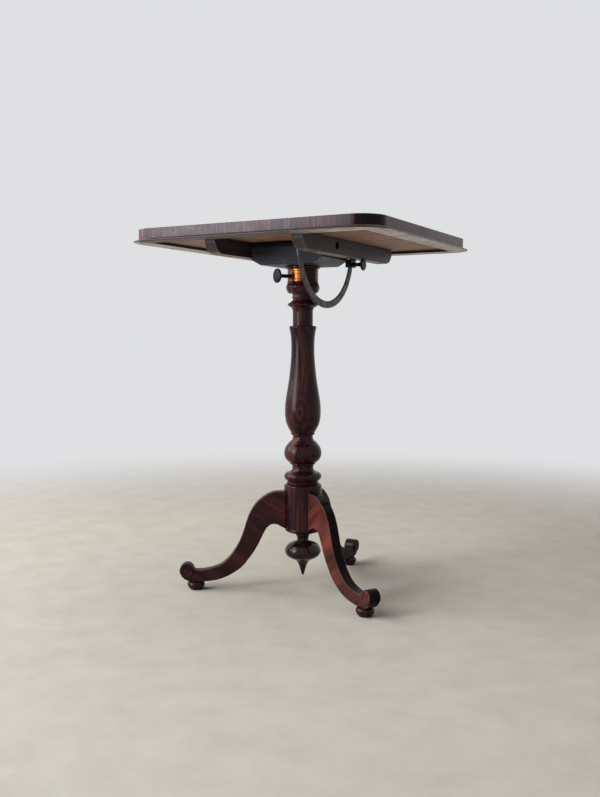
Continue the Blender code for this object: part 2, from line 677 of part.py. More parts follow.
def make_pole(lift, wood):
    outline = (
        (0, POLE_TOP), (POLE_RADIUS - EDGE, POLE_TOP), (POLE_RADIUS, POLE_TOP - EDGE),
        (POLE_RADIUS, POLE_BOTTOM + EDGE), (POLE_RADIUS - EDGE, POLE_BOTTOM), (0, POLE_BOTTOM),
    )
    hang(lift, turned("pole", outline, wood))


def make_head(swivel, iron, dark_wood, block_wood):
    """The pivot block on its flange, with the pockets for the clamp and for every screw."""
    block = make_block(block_wood)
    make_clamp(swivel, block, iron)
    make_pivots(swivel, block, iron)
    outline = (
        (POLE_BORE, FLANGE_TOP), (FLANGE_RADIUS - EDGE, FLANGE_TOP), (FLANGE_RADIUS, FLANGE_TOP - EDGE),
        (FLANGE_RADIUS, FLANGE_BOTTOM + 2 * EDGE), (FLANGE_RADIUS - 2 * EDGE, FLANGE_BOTTOM),
        (POLE_BORE, FLANGE_BOTTOM),
    )
    flange = turned("head_flange", outline, dark_wood, ring=True)
    half = FLANGE_SCREW_CIRCLE * cos(pi / 4)
    places = [(x, y) for x in (-half, half) for y in (-half, half)]
    heads = [(x, y, FLANGE_BOTTOM + EDGE) for x, y in places]
    tips = [(x, y, FLANGE_TOP + FLANGE_SCREW_BITE) for x, y in places]
    fasten(swivel, "flange_screw", heads, tips, FLANGE_SCREW, iron, (flange,), (block,), sink=EDGE)
    hang(swivel, flange)
    hang(swivel, block)


def make_block(wood):
    """The block: bevelled along its lower edges, round at its near end, bored for the pole."""
    cross = (
        (-BLOCK_FOOT_HALF_WIDTH, BLOCK_BOTTOM), (BLOCK_FOOT_HALF_WIDTH, BLOCK_BOTTOM),
        (BLOCK_HALF_WIDTH, BLOCK_BOTTOM + BLOCK_BEVEL), (BLOCK_HALF_WIDTH, RIM_TOP),
        (-BLOCK_HALF_WIDTH, RIM_TOP), (-BLOCK_HALF_WIDTH, BLOCK_BOTTOM + BLOCK_BEVEL),
    )
    nose = PIVOT_Y - PIVOT_DROP
    block = soften(plate("pivot_block", cross, nose - OVERRUN, BLOCK_BACK, wood, plane="XZ"))
    outer, back, under = BLOCK_HALF_WIDTH + OVERRUN, BLOCK_BACK + OVERRUN, BLOCK_BOTTOM - OVERRUN
    side = [(nose, under)] + arc((PIVOT_Y, PIVOT_Z), PIVOT_DROP, 180, 90)
    side += [(PIVOT_Y, RIM_TOP + OVERRUN), (back, RIM_TOP + OVERRUN), (back, under)]
    boolean(block, plate("block_side", side, -outer, outer, plane="YZ"), "INTERSECT")
    tenon_hole = [((0, 0, under), (0, 0, POLE_TOP + GAP))]
    cut(block, bores("tenon_hole", tenon_hole, POLE_RADIUS, FINE))
    clamp_low = (CLAMP_LOW_X - GAP, CLAMP_FRONT - GAP, CLAMP_BOTTOM - OVERRUN)
    cut(block, box("clamp_pocket", clamp_low, (outer, back, CLAMP_TOP + GAP)))
    plate_x = BLOCK_HALF_WIDTH - CLAMP_PLATE_THICKNESS - GAP
    plate_low = (plate_x, CLAMP_PLATE_FRONT - GAP, CLAMP_PLATE_BOTTOM - GAP)
    return cut(block, box("plate_pocket", plate_low, (outer, back, CLAMP_PLATE_TOP + GAP)))


def fasten(axis, name, heads, tips, sizes, iron, clamped, gripping, sink=0.0):
    """Screws through some pieces into others, with the holes that take them. Their heads lie
    as deep as sink under the surface."""
    radius, head_radius, head_length = sizes
    holes, seats = [], []
    for head, tip in zip(heads, tips):
        along = (Vector(tip) - Vector(head)).normalized()
        start = Vector(head) - along * (sink + OVERRUN)
        holes.append((start, Vector(tip) + along * GAP))
        seats.append((start, Vector(head) + along * (head_length + GAP)))
        number = len(holes)
        hang(axis, screw(f"{name}_{number}", head, tip, radius, head_radius, head_length, iron))
    shanks = bores(f"{name}_holes", holes, radius)
    counterbores = bores(f"{name}_seats", seats, head_radius)
    hang(axis, shanks)
    hang(axis, counterbores)
    for piece in clamped:
        cut(piece, shanks, counterbores)
    for piece in gripping:
        cut(piece, shanks)


def make_clamp(swivel, block, iron):
    """The iron sleeve that the arc slides through, with a plate let into the block's side."""
    low, high = (CLAMP_LOW_X, CLAMP_FRONT, CLAMP_BOTTOM), (CLAMP_HIGH_X, CLAMP_BACK, CLAMP_TOP)
    clamp = soften(box("clamp_bracket", low, high, iron))
    plate_low = (BLOCK_HALF_WIDTH - CLAMP_PLATE_THICKNESS, CLAMP_PLATE_FRONT, CLAMP_PLATE_BOTTOM)
    plate_high = (BLOCK_HALF_WIDTH, CLAMP_FRONT + OVERRUN, CLAMP_PLATE_TOP)
    join(clamp, box("clamp_plate", plate_low, plate_high))
    slot = band(ARC_INNER - GAP, ARC_OUTER + GAP, *CLAMP_SLOT_ANGLES, CLAMP_SLOT_FACETS)
    cut(clamp, plate("clamp_slot", slot, ARC_LOW_X - GAP, ARC_HIGH_X + GAP, plane="YZ"))
    start = (ARC_LOW_X, CLAMP_SCREW_Y, CLAMP_SCREW_Z)
    end = (CLAMP_HIGH_X + OVERRUN, CLAMP_SCREW_Y, CLAMP_SCREW_Z)
    cut(clamp, bores("clamp_screw_hole", [(start, end)], THUMB_SHANK))
    z = (CLAMP_PLATE_BOTTOM + CLAMP_PLATE_TOP) / 2
    heads = [(BLOCK_HALF_WIDTH, y, z) for y in BRACKET_SCREW_YS]
    tips = [(BLOCK_HALF_WIDTH - BRACKET_SCREW_BITE, y, z) for y in BRACKET_SCREW_YS]
    fasten(swivel, "clamp_bracket_screw", heads, tips, SMALL_SCREW, iron, (clamp,), (block,))
    hang(swivel, clamp)


def make_pivots(swivel, block, iron):
    """The two sunk screws in the block's sides that the top tilts on."""
    for place, side in (("left", -1), ("right", 1)):
        head = (side * (BEARER_OUTER_X - PIVOT_SINK), PIVOT_Y, PIVOT_Z)
        tip = (side * (BLOCK_HALF_WIDTH - PIVOT_BITE), PIVOT_Y, PIVOT_Z)
        name = f"pivot_screw_{place}"
        sizes = (PIVOT_RADIUS, PIVOT_HEAD_RADIUS, PIVOT_HEAD_LENGTH)
        hang(swivel, screw(name, head, tip, *sizes, iron, MEDIUM))
        start = (side * (BLOCK_HALF_WIDTH + OVERRUN), PIVOT_Y, PIVOT_Z)
        end = (side * (BLOCK_HALF_WIDTH - PIVOT_BITE - GAP), PIVOT_Y, PIVOT_Z)
        cut(block, bores(f"{name}_socket", [(start, end)], PIVOT_RADIUS))


def make_arc(tilt, bearer, iron):
    """The flat iron arc about the pivot, let into the right bearer's inner face at its near end."""
    outline = band(ARC_INNER, ARC_OUTER, *ARC_ANGLES, ARC_FACETS)
    iron_arc = plate("tilt_arc", outline, ARC_LOW_X, ARC_HIGH_X, iron, plane="YZ")
    rebate = band(ARC_INNER - GAP, ARC_OUTER + GAP, *ARC_REBATE_ANGLES, ARC_STEPS)
    cut(bearer, plate("arc_rebate", rebate, BEARER_INNER_X - OVERRUN, ARC_HIGH_X + GAP, plane="YZ"))
    heads, tips = [], []
    for angle in ARC_SCREW_ANGLES:
        y = PIVOT_Y + ARC_MIDDLE * cos(radians(angle))
        z = PIVOT_Z + ARC_MIDDLE * sin(radians(angle))
        heads.append((ARC_LOW_X, y, z))
        tips.append((ARC_HIGH_X + ARC_SCREW_BITE, y, z))
    fasten(tilt, "arc_screw", heads, tips, SMALL_SCREW, iron, (iron_arc,), (bearer,))
    hang(tilt, iron_arc)


def bearer_outline():
    """A bearer's side outline as (y, z) points, with round lower ends."""
    ends = []
    for end, length in ((BEARER_FRONT, BEARER_NOSE_LENGTH), (BEARER_BACK, -BEARER_NOSE_LENGTH)):
        turns = [radians(90 * i / ARC_STEPS) for i in range(ARC_STEPS + 1)]
        rise = BEARER_NOSE_HEIGHT
        ends.append([(end + length * (1 - cos(a)), BEARER_BOTTOM + rise * (1 - sin(a))) for a in turns])
    front, back = ends
    seat = BOARD_BOTTOM - GAP
    return [(BEARER_FRONT, seat)] + front + back[::-1] + [(BEARER_BACK, seat)]


def make_bearers(tilt, board, wood, iron):
    """The two bearers under the top, drilled for the pivots, with the screws that hold them."""
    bearers = {}
    heads, tips = [], []
    screw_ys = [BEARER_FRONT + share * (BEARER_BACK - BEARER_FRONT) for share in BEARER_SCREW_SHARES]
    for place, side in (("left", -1), ("right", 1)):
        low, high = sorted((side * BEARER_INNER_X, side * BEARER_OUTER_X))
        bearer = soften(plate(f"bearer_{place}", bearer_outline(), low, high, wood, plane="YZ"))
        outer = (side * (BEARER_OUTER_X + OVERRUN), PIVOT_Y, PIVOT_Z)
        inner = (side * (BEARER_INNER_X - OVERRUN), PIVOT_Y, PIVOT_Z)
        bore = (PIVOT_RADIUS + GAP) / cos(pi / MEDIUM)
        sunk = OVERRUN + PIVOT_SINK + PIVOT_HEAD_LENGTH + GAP
        through = BEARER_THICKNESS + 2 * OVERRUN
        outline = (
            (0, 0), (COUNTERBORE_RADIUS, 0), (COUNTERBORE_RADIUS, sunk), (bore, sunk),
            (bore, through), (0, through),
        )
        cut(bearer, spun(f"pivot_hole_{place}", outline, outer, inner, MEDIUM))
        x = side * (BEARER_INNER_X + BEARER_THICKNESS / 2)
        heads += [(x, y, BEARER_BOTTOM + BEARER_SCREW_SINK) for y in screw_ys]
        tips += [(x, y, BOARD_BOTTOM + BEARER_SCREW_BITE) for y in screw_ys]
        bearers[place] = bearer
    sink = BEARER_SCREW_SINK
    fasten(tilt, "bearer_screw", heads, tips, BEARER_SCREW, iron, bearers.values(), (board,), sink)
    make_arc(tilt, bearers["right"], iron)
    for bearer in bearers.values():
        hang(tilt, bearer)


def make_board(veneer):
    inset = 2 * (FACING_THICKNESS + GAP)
    radius = CORNER_RADIUS - FACING_THICKNESS - GAP
    outline = rounded(FACE_WIDTH - inset, FACE_DEPTH - inset, radius, TOP_SETBACK)
    return plate("top_board", outline, BOARD_BOTTOM, TOP_HEIGHT, veneer)


def make_rim(tilt, wood):
    """The mitred frame under the board's edge, one rail to a side."""
    for side, (turn, width, depth) in SIDES.items():
        x, y = width / 2 - CORNER_RADIUS, -depth / 2 + CORNER_RADIUS
        radius, steps = CORNER_RADIUS - GAP, ARC_STEPS // 2
        outer = arc((-x, y), radius, 225, 270, steps) + arc((x, y), radius, 270, 315, steps)
        inner_x, inner_y = width / 2 - RIM_WIDTH, -depth / 2 + RIM_WIDTH
        outline = outer + [(inner_x, inner_y), (-inner_x, inner_y)]
        closed = [(px - GAP * px / abs(px), py) for px, py in outline]
        rail = plate(f"rim_{side}", closed, RIM_BOTTOM, RIM_TOP, wood)
        hang(tilt, rail, at=(0, TOP_SETBACK, 0), turn=turn)


def make_edging(tilt, name, section, look):
    """A moulding round the top: a straight strip for each side and a turned piece for each corner."""
    low = min(z for reach, z in section) - OVERRUN
    high = max(z for reach, z in section) + OVERRUN
    for side, (turn, width, depth) in SIDES.items():
        half = width / 2 - CORNER_RADIUS
        cross = [(-depth / 2 - reach, z) for reach, z in section]
        strip = plate(f"{name}_{side}", cross, -half, half, look, plane="YZ")
        hang(tilt, strip, at=(0, TOP_SETBACK, 0), turn=turn)
        rings = [(CORNER_RADIUS + reach, z) for reach, z in section]
        corner = turned(f"{name}_corner_{side}", rings, look, ring=True)
        room = CORNER_RADIUS + LIP_REACH + OVERRUN
        quarter = box(f"{name}_quarter_{side}", (GAP, -room, low), (room, -GAP, high))
        boolean(corner, quarter, "INTERSECT")
        spot = Matrix.Rotation(radians(turn), 3, "Z") @ Vector((half, CORNER_RADIUS - depth / 2, 0))
        hang(tilt, corner, at=spot + Vector((0, TOP_SETBACK, 0)), turn=turn)


def make_top(tilt, looks):
    """The board with its rim frame, facing and lip, and what hangs under it."""
    board = make_board(looks["veneer"])
    make_bearers(tilt, board, looks["bearer"], looks["iron"])
    hang(tilt, board)
    make_rim(tilt, looks["rim"])
    facing = (
        (-EDGE, TOP_HEIGHT), (0, TOP_HEIGHT - EDGE), (0, BOARD_BOTTOM),
        (-FACING_THICKNESS, BOARD_BOTTOM), (-FACING_THICKNESS, TOP_HEIGHT),
    )
    make_edging(tilt, "frieze", facing, looks["facing"])
    rise = RIM_THICKNESS - LIP_NOSE
    lip = [(LIP_REACH * x, RIM_BOTTOM + LIP_NOSE + rise * z) for x, z in LIP_SHARES]
    lip += [(LIP_REACH, RIM_BOTTOM + EDGE), (LIP_REACH - EDGE, RIM_BOTTOM), (0, RIM_BOTTOM)]
    make_edging(tilt, "lip", lip, looks["lip"])


def build():
    looks = {
        "rosewood": material("rosewood", (0.16, 0.045, 0.028), 0.28),
        "dark": material("dark_rosewood", (0.07, 0.025, 0.02), 0.28),
        "veneer": material("rosewood_veneer", (0.17, 0.05, 0.03), 0.25),
        "facing": material("crossbanding", (0.13, 0.06, 0.065), 0.3),
        "lip": material("lip_moulding", (0.16, 0.04, 0.035), 0.3),
        "rim": material("bare_rim_wood", (0.42, 0.34, 0.26), 0.7),
        "bearer": material("stained_bearer_wood", (0.1, 0.075, 0.07), 0.6),
        "block": material("ebonised_wood", (0.03, 0.032, 0.042), 0.6),
        "brass": material("brass", (0.72, 0.42, 0.16), 0.3, 1.0),
        "iron": material("black_iron", (0.055, 0.05, 0.05), 0.45, 0.9),
    }
    stand = empty("stand_axis", (0, 0, 0))
    lift = empty("lift_axis", (0, 0, COLLAR_TOP), stand)
    swivel = empty("swivel_axis", (0, 0, FLANGE_BOTTOM), lift)
    tilt = empty("tilt_axis", (0, PIVOT_Y, PIVOT_Z), swivel)
    turn = (0, 90, COLLAR_SCREW_TURN)
    collar_screw = empty("collar_screw_axis", (0, 0, COLLAR_SCREW_Z), stand, turn)
    place = (0, CLAMP_SCREW_Y, CLAMP_SCREW_Z)
    clamp_screw = empty("clamp_screw_axis", place, swivel, turn=(0, 90, 0))
    legs = {
        place: empty(f"leg_axis_{place}", (0, 0, 0), stand, turn=(0, 0, degrees))
        for place, degrees in LEG_TURNS.items()
    }
    make_column(stand, legs, looks["rosewood"])
    make_collar(stand, looks["brass"])
    make_cap_and_finial(stand, looks["rosewood"], looks["dark"])
    for place, axis in legs.items():
        make_leg(place, axis, looks["rosewood"])
        make_foot(place, axis, looks["dark"])
    make_pole(lift, looks["dark"])
    make_head(swivel, looks["iron"], looks["dark"], looks["block"])
    disc = (COLLAR_DISC_REACH, COLLAR_DISC_RADIUS)
    make_thumbscrew("collar_thumbscrew", collar_screw, POLE_RADIUS + GAP, *disc, looks["iron"])
    disc = (CLAMP_DISC_REACH, CLAMP_DISC_RADIUS)
    make_thumbscrew("clamp_thumbscrew", clamp_screw, ARC_HIGH_X + GAP, *disc, looks["iron"])
    make_top(tilt, looks)


clear_scene()
PARTS = collection("reading_stand", hidden=False)
CUTTERS = collection("cutters", hidden=True)
build()
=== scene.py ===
from math import cos, pi, radians, sin

import bmesh
import bpy
from mathutils import Matrix, Vector


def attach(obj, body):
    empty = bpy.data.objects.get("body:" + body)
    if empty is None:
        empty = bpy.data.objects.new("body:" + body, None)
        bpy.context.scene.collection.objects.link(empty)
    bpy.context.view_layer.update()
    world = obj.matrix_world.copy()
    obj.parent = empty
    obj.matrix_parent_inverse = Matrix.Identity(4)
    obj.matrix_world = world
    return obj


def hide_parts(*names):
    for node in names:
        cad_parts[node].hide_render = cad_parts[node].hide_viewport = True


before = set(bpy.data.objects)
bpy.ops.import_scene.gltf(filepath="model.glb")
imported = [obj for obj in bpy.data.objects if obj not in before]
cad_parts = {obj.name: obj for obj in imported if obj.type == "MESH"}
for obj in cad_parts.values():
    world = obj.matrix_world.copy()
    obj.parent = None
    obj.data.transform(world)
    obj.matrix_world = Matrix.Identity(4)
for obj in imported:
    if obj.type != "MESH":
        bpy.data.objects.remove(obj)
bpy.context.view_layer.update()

# Sizes that the part's own source gives, in metres and degrees
GAP = 0.0003
OVERRUN = 0.004
EDGE = 0.0008

# The top
TOP_HEIGHT = 0.7328
LIP_WIDTH = 0.5425
LIP_DEPTH = 0.5275
LIP_REACH = 0.010
LIP_NOSE = 0.0024
CORNER_RADIUS = 0.048
TOP_SETBACK = 0.0218
BOARD_THICKNESS = 0.0189
RIM_THICKNESS = 0.0060
RIM_WIDTH = 0.031
FACING_THICKNESS = 0.0025
BOARD_BOTTOM = TOP_HEIGHT - BOARD_THICKNESS
RIM_TOP = BOARD_BOTTOM - GAP
RIM_BOTTOM = RIM_TOP - RIM_THICKNESS
FACE_WIDTH = LIP_WIDTH - 2 * LIP_REACH
FACE_DEPTH = LIP_DEPTH - 2 * LIP_REACH

# The bearers under it
BEARER_INNER_X = 0.0825
BEARER_THICKNESS = 0.024
BEARER_FRONT_GAP = 0.003
BEARER_BACK_GAP = 0.031
BEARER_HEIGHT = 0.0319
BEARER_BOTTOM = BOARD_BOTTOM - BEARER_HEIGHT
BEARER_NOSE_LENGTH = 0.030
BEARER_NOSE_HEIGHT = 0.0245
BEARER_SCREW_SHARES = (0.17, 0.535, 0.9)
BEARER_SCREW_HOLE = 0.0047
BEARER_SCREW_SINK = 0.012
BEARER_ARRIS = 0.0013
RIM_INNER_FRONT = TOP_SETBACK - FACE_DEPTH / 2 + RIM_WIDTH
RIM_INNER_BACK = TOP_SETBACK + FACE_DEPTH / 2 - RIM_WIDTH
BEARER_FRONT = RIM_INNER_FRONT + BEARER_FRONT_GAP
BEARER_BACK = RIM_INNER_BACK - BEARER_BACK_GAP
BEARER_OUTER_X = BEARER_INNER_X + BEARER_THICKNESS

# The tilt's pivot and the block that carries it
PIVOT_Y = -0.058
PIVOT_DROP = 0.0138
PIVOT_Z = RIM_TOP - PIVOT_DROP
WELL_DEPTH = 0.0113
COUNTERBORE_RADIUS = 0.0082
BLOCK_HALF_WIDTH = 0.0805
BLOCK_FOOT_HALF_WIDTH = 0.0585
BLOCK_HEIGHT = 0.0464
BLOCK_BOTTOM = RIM_TOP - BLOCK_HEIGHT
BLOCK_BEVEL = 0.0115
BLOCK_BACK = 0.046
BLOCK_ARRIS = 0.0014

# The arc, and the clamp that it slides through
ARC_OUTER = 0.120
ARC_INNER = 0.1065
ARC_MIDDLE = (ARC_INNER + ARC_OUTER) / 2
ARC_INSET = 0.001
ARC_THICKNESS = 0.0035
ARC_ARRIS = 0.0005
ARC_LOW_X = BEARER_INNER_X - ARC_INSET
ARC_HIGH_X = ARC_LOW_X + ARC_THICKNESS
ARC_ANGLES = (179.5, 348.0)
ARC_REBATE_ANGLES = (178.5, 200.0)
CLAMP_SCREW_ANGLE = 14.7
CLAMP_SCREW_Y = PIVOT_Y + ARC_MIDDLE * cos(radians(CLAMP_SCREW_ANGLE))
CLAMP_SCREW_Z = PIVOT_Z - ARC_MIDDLE * sin(radians(CLAMP_SCREW_ANGLE))
CLAMP_DEPTH = 0.024
CLAMP_HEIGHT = 0.016
CLAMP_CLEARANCE = 0.0006
CLAMP_INNER_WALL = 0.0042
CLAMP_TOP = BEARER_BOTTOM - CLAMP_CLEARANCE
CLAMP_BOTTOM = CLAMP_TOP - CLAMP_HEIGHT
CLAMP_LOW_X = ARC_LOW_X - GAP - CLAMP_INNER_WALL
CLAMP_PLATE_FRONT = 0.010
CLAMP_PLATE_LAP = 0.0022
CLAMP_PLATE_HEIGHT = 0.014
CLAMP_PLATE_THICKNESS = 0.0028
CLAMP_PLATE_BOTTOM = CLAMP_TOP - CLAMP_PLATE_LAP
CLAMP_PLATE_TOP = CLAMP_PLATE_BOTTOM + CLAMP_PLATE_HEIGHT

# The thumbscrews: each disc's reach and radius, and what both share. The disc's edge is (inset, drop) in
# front and (inset, rise) behind
THUMB_SHANK = 0.0038
COLLAR_DISC = (0.0635, 0.0145)
CLAMP_DISC = (0.1140, 0.0125)
DISC_THICKNESS = 0.0046
DISC_DOME_SHARE = 0.7
DISC_DOME_DROP = 0.0002
DISC_FACE_DROP = 0.0006
DISC_FRONT = ((0.0003, 0.0010), (0, 0.0017))
DISC_BACK = ((0, 0.0014), (0.0005, 0.0005))
DISC_BACK_INSET = 0.002
FLARE_DROP = 0.0002
FLARE_LENGTH = 0.0085
FLARE_RADIUS = 0.0068

# The head's flange, the pole and the collar, with the lines cut round it
FLANGE_RADIUS = 0.035
FLANGE_THICKNESS = 0.005
FLANGE_ROUND = 0.0016
FLANGE_TOP = BLOCK_BOTTOM - GAP
FLANGE_BOTTOM = FLANGE_TOP - FLANGE_THICKNESS
POLE_RADIUS = 0.011
POLE_TENON = 0.022
POLE_LENGTH = 0.389
POLE_TOP = BLOCK_BOTTOM + POLE_TENON
POLE_BOTTOM = POLE_TOP - POLE_LENGTH
POLE_BORE = 0.0114
COLLAR_RADIUS = 0.0313
COLLAR_HEIGHT = 0.0258
COLLAR_BUSH_RADIUS = 0.0155
COLLAR_BUSH_LENGTH = 0.022
COLLAR_SCREW_DROP = 0.0152
COLLAR_SCREW_TURN = 241.0
COLLAR_LINE_DEPTH = 0.0007
COLLAR_LINE_DROP = 0.0042
COLLAR_LINE_GAP = 0.002
COLLAR_TOP = FLANGE_BOTTOM - GAP
COLLAR_FOOT = COLLAR_TOP - COLLAR_HEIGHT
COLLAR_SCREW_Z = COLLAR_TOP - COLLAR_SCREW_DROP
COLUMN_TOP = COLLAR_FOOT - GAP

# The column's turnings, from the top down: height, radius, and outline as shares of the two. The vase
# takes the height that the others leave
CAPITAL_SHARES = ((0, 0.92), (0.14, 0.93), (0.46, 1), (0.82, 0.93), (1, 0.83))
NECK_BEAD_SHARES = ((0, 0.96), (0.22, 0.9), (0.5, 0.93), (0.75, 0.88), (1, 1))
RING_SHARES = (
    (0, 0.775), (0.14, 0.85), (0.28, 0.955), (0.44, 1), (0.6, 0.965), (0.76, 0.885), (0.9, 0.77), (1, 0.71),
)
COVE_SHARES = ((0, 1), (0.5, 0.93), (1, 0.907))
PLAIN_SHARES = ((0, 1), (1, 1))
VASE_SHARES = (
    (0, 0.71), (0.012, 0.748), (0.05, 0.703), (0.11, 0.655), (0.2, 0.636), (0.3, 0.652), (0.4, 0.702),
    (0.5, 0.768), (0.6, 0.863), (0.7, 0.957), (0.77, 0.992), (0.83, 0.99), (0.885, 0.947), (0.93, 0.862),
    (0.97, 0.743), (1, 0.636),
)
SMALL_BEAD_SHARES = ((0, 0.93), (0.3, 1), (0.7, 1), (1, 0.91))
LOWER_NECK_SHARES = ((0, 0.865), (0.25, 0.843), (0.5, 0.863), (0.76, 0.91), (1, 1))
BALL_SHARES = (
    (0, 0.69), (0.1, 0.77), (0.2, 0.872), (0.32, 0.945), (0.45, 0.988), (0.56, 1), (0.68, 0.985),
    (0.8, 0.93), (0.9, 0.85), (1, 0.72),
)
SPOOL_SHARES = ((0, 0.87), (0.3, 0.838), (0.6, 0.848), (0.82, 0.89), (1, 0.98))
TORUS_SHARES = (
    (0, 0.69), (0.07, 0.76), (0.16, 0.89), (0.28, 0.953), (0.4, 0.99), (0.52, 1), (0.66, 0.98), (0.8, 0.935),
    (0.9, 0.89), (1, 0.82),
)
BAND_SHARES = ((0, 0.9), (0.05, 0.948), (0.1, 0.98), (0.17, 1), (1, 1))
VASE_RADIUS = 0.0374
BODY_RADIUS = 0.0368
BAND_RADIUS = 0.0388
BODY_HEIGHT = 0.0706
UPPER_TURNINGS = (
    (0.0230, 0.0346, CAPITAL_SHARES),
    (0.0167, 0.0236, NECK_BEAD_SHARES),
    (0.0131, 0.0313, RING_SHARES),
    (0.0090, 0.0226, COVE_SHARES),
    (0.0275, 0.0207, PLAIN_SHARES),
)
LOWER_TURNINGS = (
    (0.0040, 0.0248, SMALL_BEAD_SHARES),
    (0.0134, 0.0245, LOWER_NECK_SHARES),
    (0.0438, 0.0387, BALL_SHARES),
    (0.0044, 0.0262, SMALL_BEAD_SHARES),
    (0.0140, 0.0262, SPOOL_SHARES),
    (0.0204, 0.0388, TORUS_SHARES),
    (0.0022, 0.0314, PLAIN_SHARES),
    (0.0040, 0.0334, SMALL_BEAD_SHARES),
    (0.0221, BAND_RADIUS, BAND_SHARES),
    (BODY_HEIGHT, BODY_RADIUS, PLAIN_SHARES),
)
LEG_RISE = 0.205
LEG_ROOT_SHARE = 0.621
COLUMN_FOOT = LEG_RISE * LEG_ROOT_SHARE
VASE_HEIGHT = COLUMN_TOP - COLUMN_FOOT - sum(turning[0] for turning in UPPER_TURNINGS + LOWER_TURNINGS)
COLUMN_TURNINGS = (*UPPER_TURNINGS, (VASE_HEIGHT, VASE_RADIUS, VASE_SHARES), *LOWER_TURNINGS)
BAND_BOTTOM = COLUMN_FOOT + BODY_HEIGHT

# The cap under the column, and the finial
CAP_TOP = COLUMN_FOOT - GAP
CAP_HEIGHT = 0.008
CAP_RADIUS = 0.0373
CAP_SHARES = ((0, 0.985), (0.25, 1), (0.55, 0.965), (0.8, 0.88), (1, 0.76))
DOWEL_RADIUS = 0.008
DOWEL_LENGTH = 0.045
FINIAL_TOP = CAP_TOP - CAP_HEIGHT - GAP
DOWEL_TOP = FINIAL_TOP + DOWEL_LENGTH
FINIAL_NECK_SHARES = ((0, 1), (0.34, 0.945), (0.455, 0.885), (0.57, 0.815), (0.75, 0.785), (1, 0.785))
FINIAL_BALL_SHARES = (
    (0, 0.34), (0.03, 0.43), (0.1, 0.63), (0.18, 0.79), (0.28, 0.895), (0.4, 0.975), (0.55, 1), (0.68, 0.965),
    (0.78, 0.895), (0.87, 0.77), (0.95, 0.6), (1, 0.47),
)
FINIAL_DROP_SHARES = ((0, 1), (0.1, 0.82), (0.25, 0.6), (0.45, 0.44), (0.7, 0.29), (0.9, 0.19), (1, 0.08))
FINIAL_TURNINGS = (
    (0.0178, 0.0150, FINIAL_NECK_SHARES),
    (0.0398, 0.0373, FINIAL_BALL_SHARES),
    (0.0330, 0.0165, FINIAL_DROP_SHARES),
)

# The legs, their scrolls and their pads
LEG_TURNS = {"back": 90.0, "left": 210.0, "right": 330.0}
LEG_LENGTH = 0.2408
LEG_THICKNESS = 0.021
LEG_ARRIS = 0.0018
LEG_UPPER_SHARES = (
    (0.2, 1), (0.25, 0.995), (0.31, 0.966), (0.37, 0.918), (0.42, 0.855), (0.458, 0.78),
    (0.482, 0.708), (0.525, 0.551), (0.57, 0.438), (0.63, 0.338), (0.7, 0.262), (0.78, 0.221),
    (0.86, 0.203), (0.92, 0.199),
)
LEG_LOWER_SHARES = (
    (0.84, 0.086), (0.74, 0.102), (0.654, 0.137), (0.581, 0.186), (0.519, 0.241), (0.471, 0.31),
    (0.428, 0.38), (0.392, 0.449), (0.361, 0.522), (0.337, 0.58), (0.313, 0.629),
    (0.282, 0.66), (0.252, 0.67), (0.222, 0.665), (0.19, 0.645),
)
LEG_HEEL_SHARES = ((1.045, 0.136), (1.02, 0.108), (0.99, 0.091))
LEG_SEAT_HALF = 0.011
SCROLL_RADIUS = 0.015
SCROLL_HEIGHT_SHARE = 0.197
SCROLL_HEIGHT = LEG_RISE * SCROLL_HEIGHT_SHARE
SCROLL_HALF_WIDTH = 0.0128
SCROLL_ANGLES = (168.0, -28.0)
FOOT_SETBACK = 0.0183
FOOT_CIRCLE = LEG_LENGTH - FOOT_SETBACK
FOOT_HEIGHT = 0.0167
FOOT_RADIUS = 0.0183
FOOT_SHARES = ((0, 0.72), (0.04, 0.86), (0.2, 0.97), (0.42, 1), (0.75, 0.86), (1, 0.68))
PEG_RADIUS = 0.0045
PEG_LENGTH = 0.012
LEG_SEAT = FOOT_HEIGHT + GAP

# Where the column stands, and the cove over the lip as shares of its reach and rise
COLUMN_Y = -TOP_SETBACK
LIP_SHARES = ((0, 1), (0.16, 1), (0.28, 0.62), (0.5, 0.3), (0.78, 0.08), (0.94, 0))

# What the scene's own pieces add: the scroll's eye as (share of its radius, depth), its rim as (inset,
# depth), and the rounded edges of the rims, the facing and the lip
SCROLL_EYE_RADIUS = 0.0098
SCROLL_EYE = ((0, 0.0004), (0.3, 0.0006), (0.8, 0.0014), (1, 0.0012))
SCROLL_EYE_LIP = 0.0002
SCROLL_RIM = ((0.003, 0), (0.0012, 0.0005), (0.0003, 0.0014), (0, 0.003))
RIM_ARRIS = 0.0004
FACING_ROUND = 0.0011
LIP_ROUND = 0.0012
LIP_ROUND_HEIGHT = 0.0014
LIP_ROUND_ANGLES = (60, -80)

# How finely the pieces are divided, and the angle from which an edge stays sharp
ROUND_STEPS = 96
SMALL_ROUND_STEPS = 64
ROLL_STEPS = 48
HOLE_STEPS = 32
ARC_STEPS = 96
REBATE_STEPS = 8
CORNER_STEPS = 24
NOSE_STEPS = 16
EDGE_STEPS = 5
CURVE_STEPS = 4
COVE_STEPS = 3
SHARP = radians(34)

# How much of a face's normal lies along an axis, where that decides which look the face gets
SQUARE = 0.9
MOSTLY = 0.8
HALFWAY = 0.5
SLANTED = 0.3
SLIGHTLY = 0.2

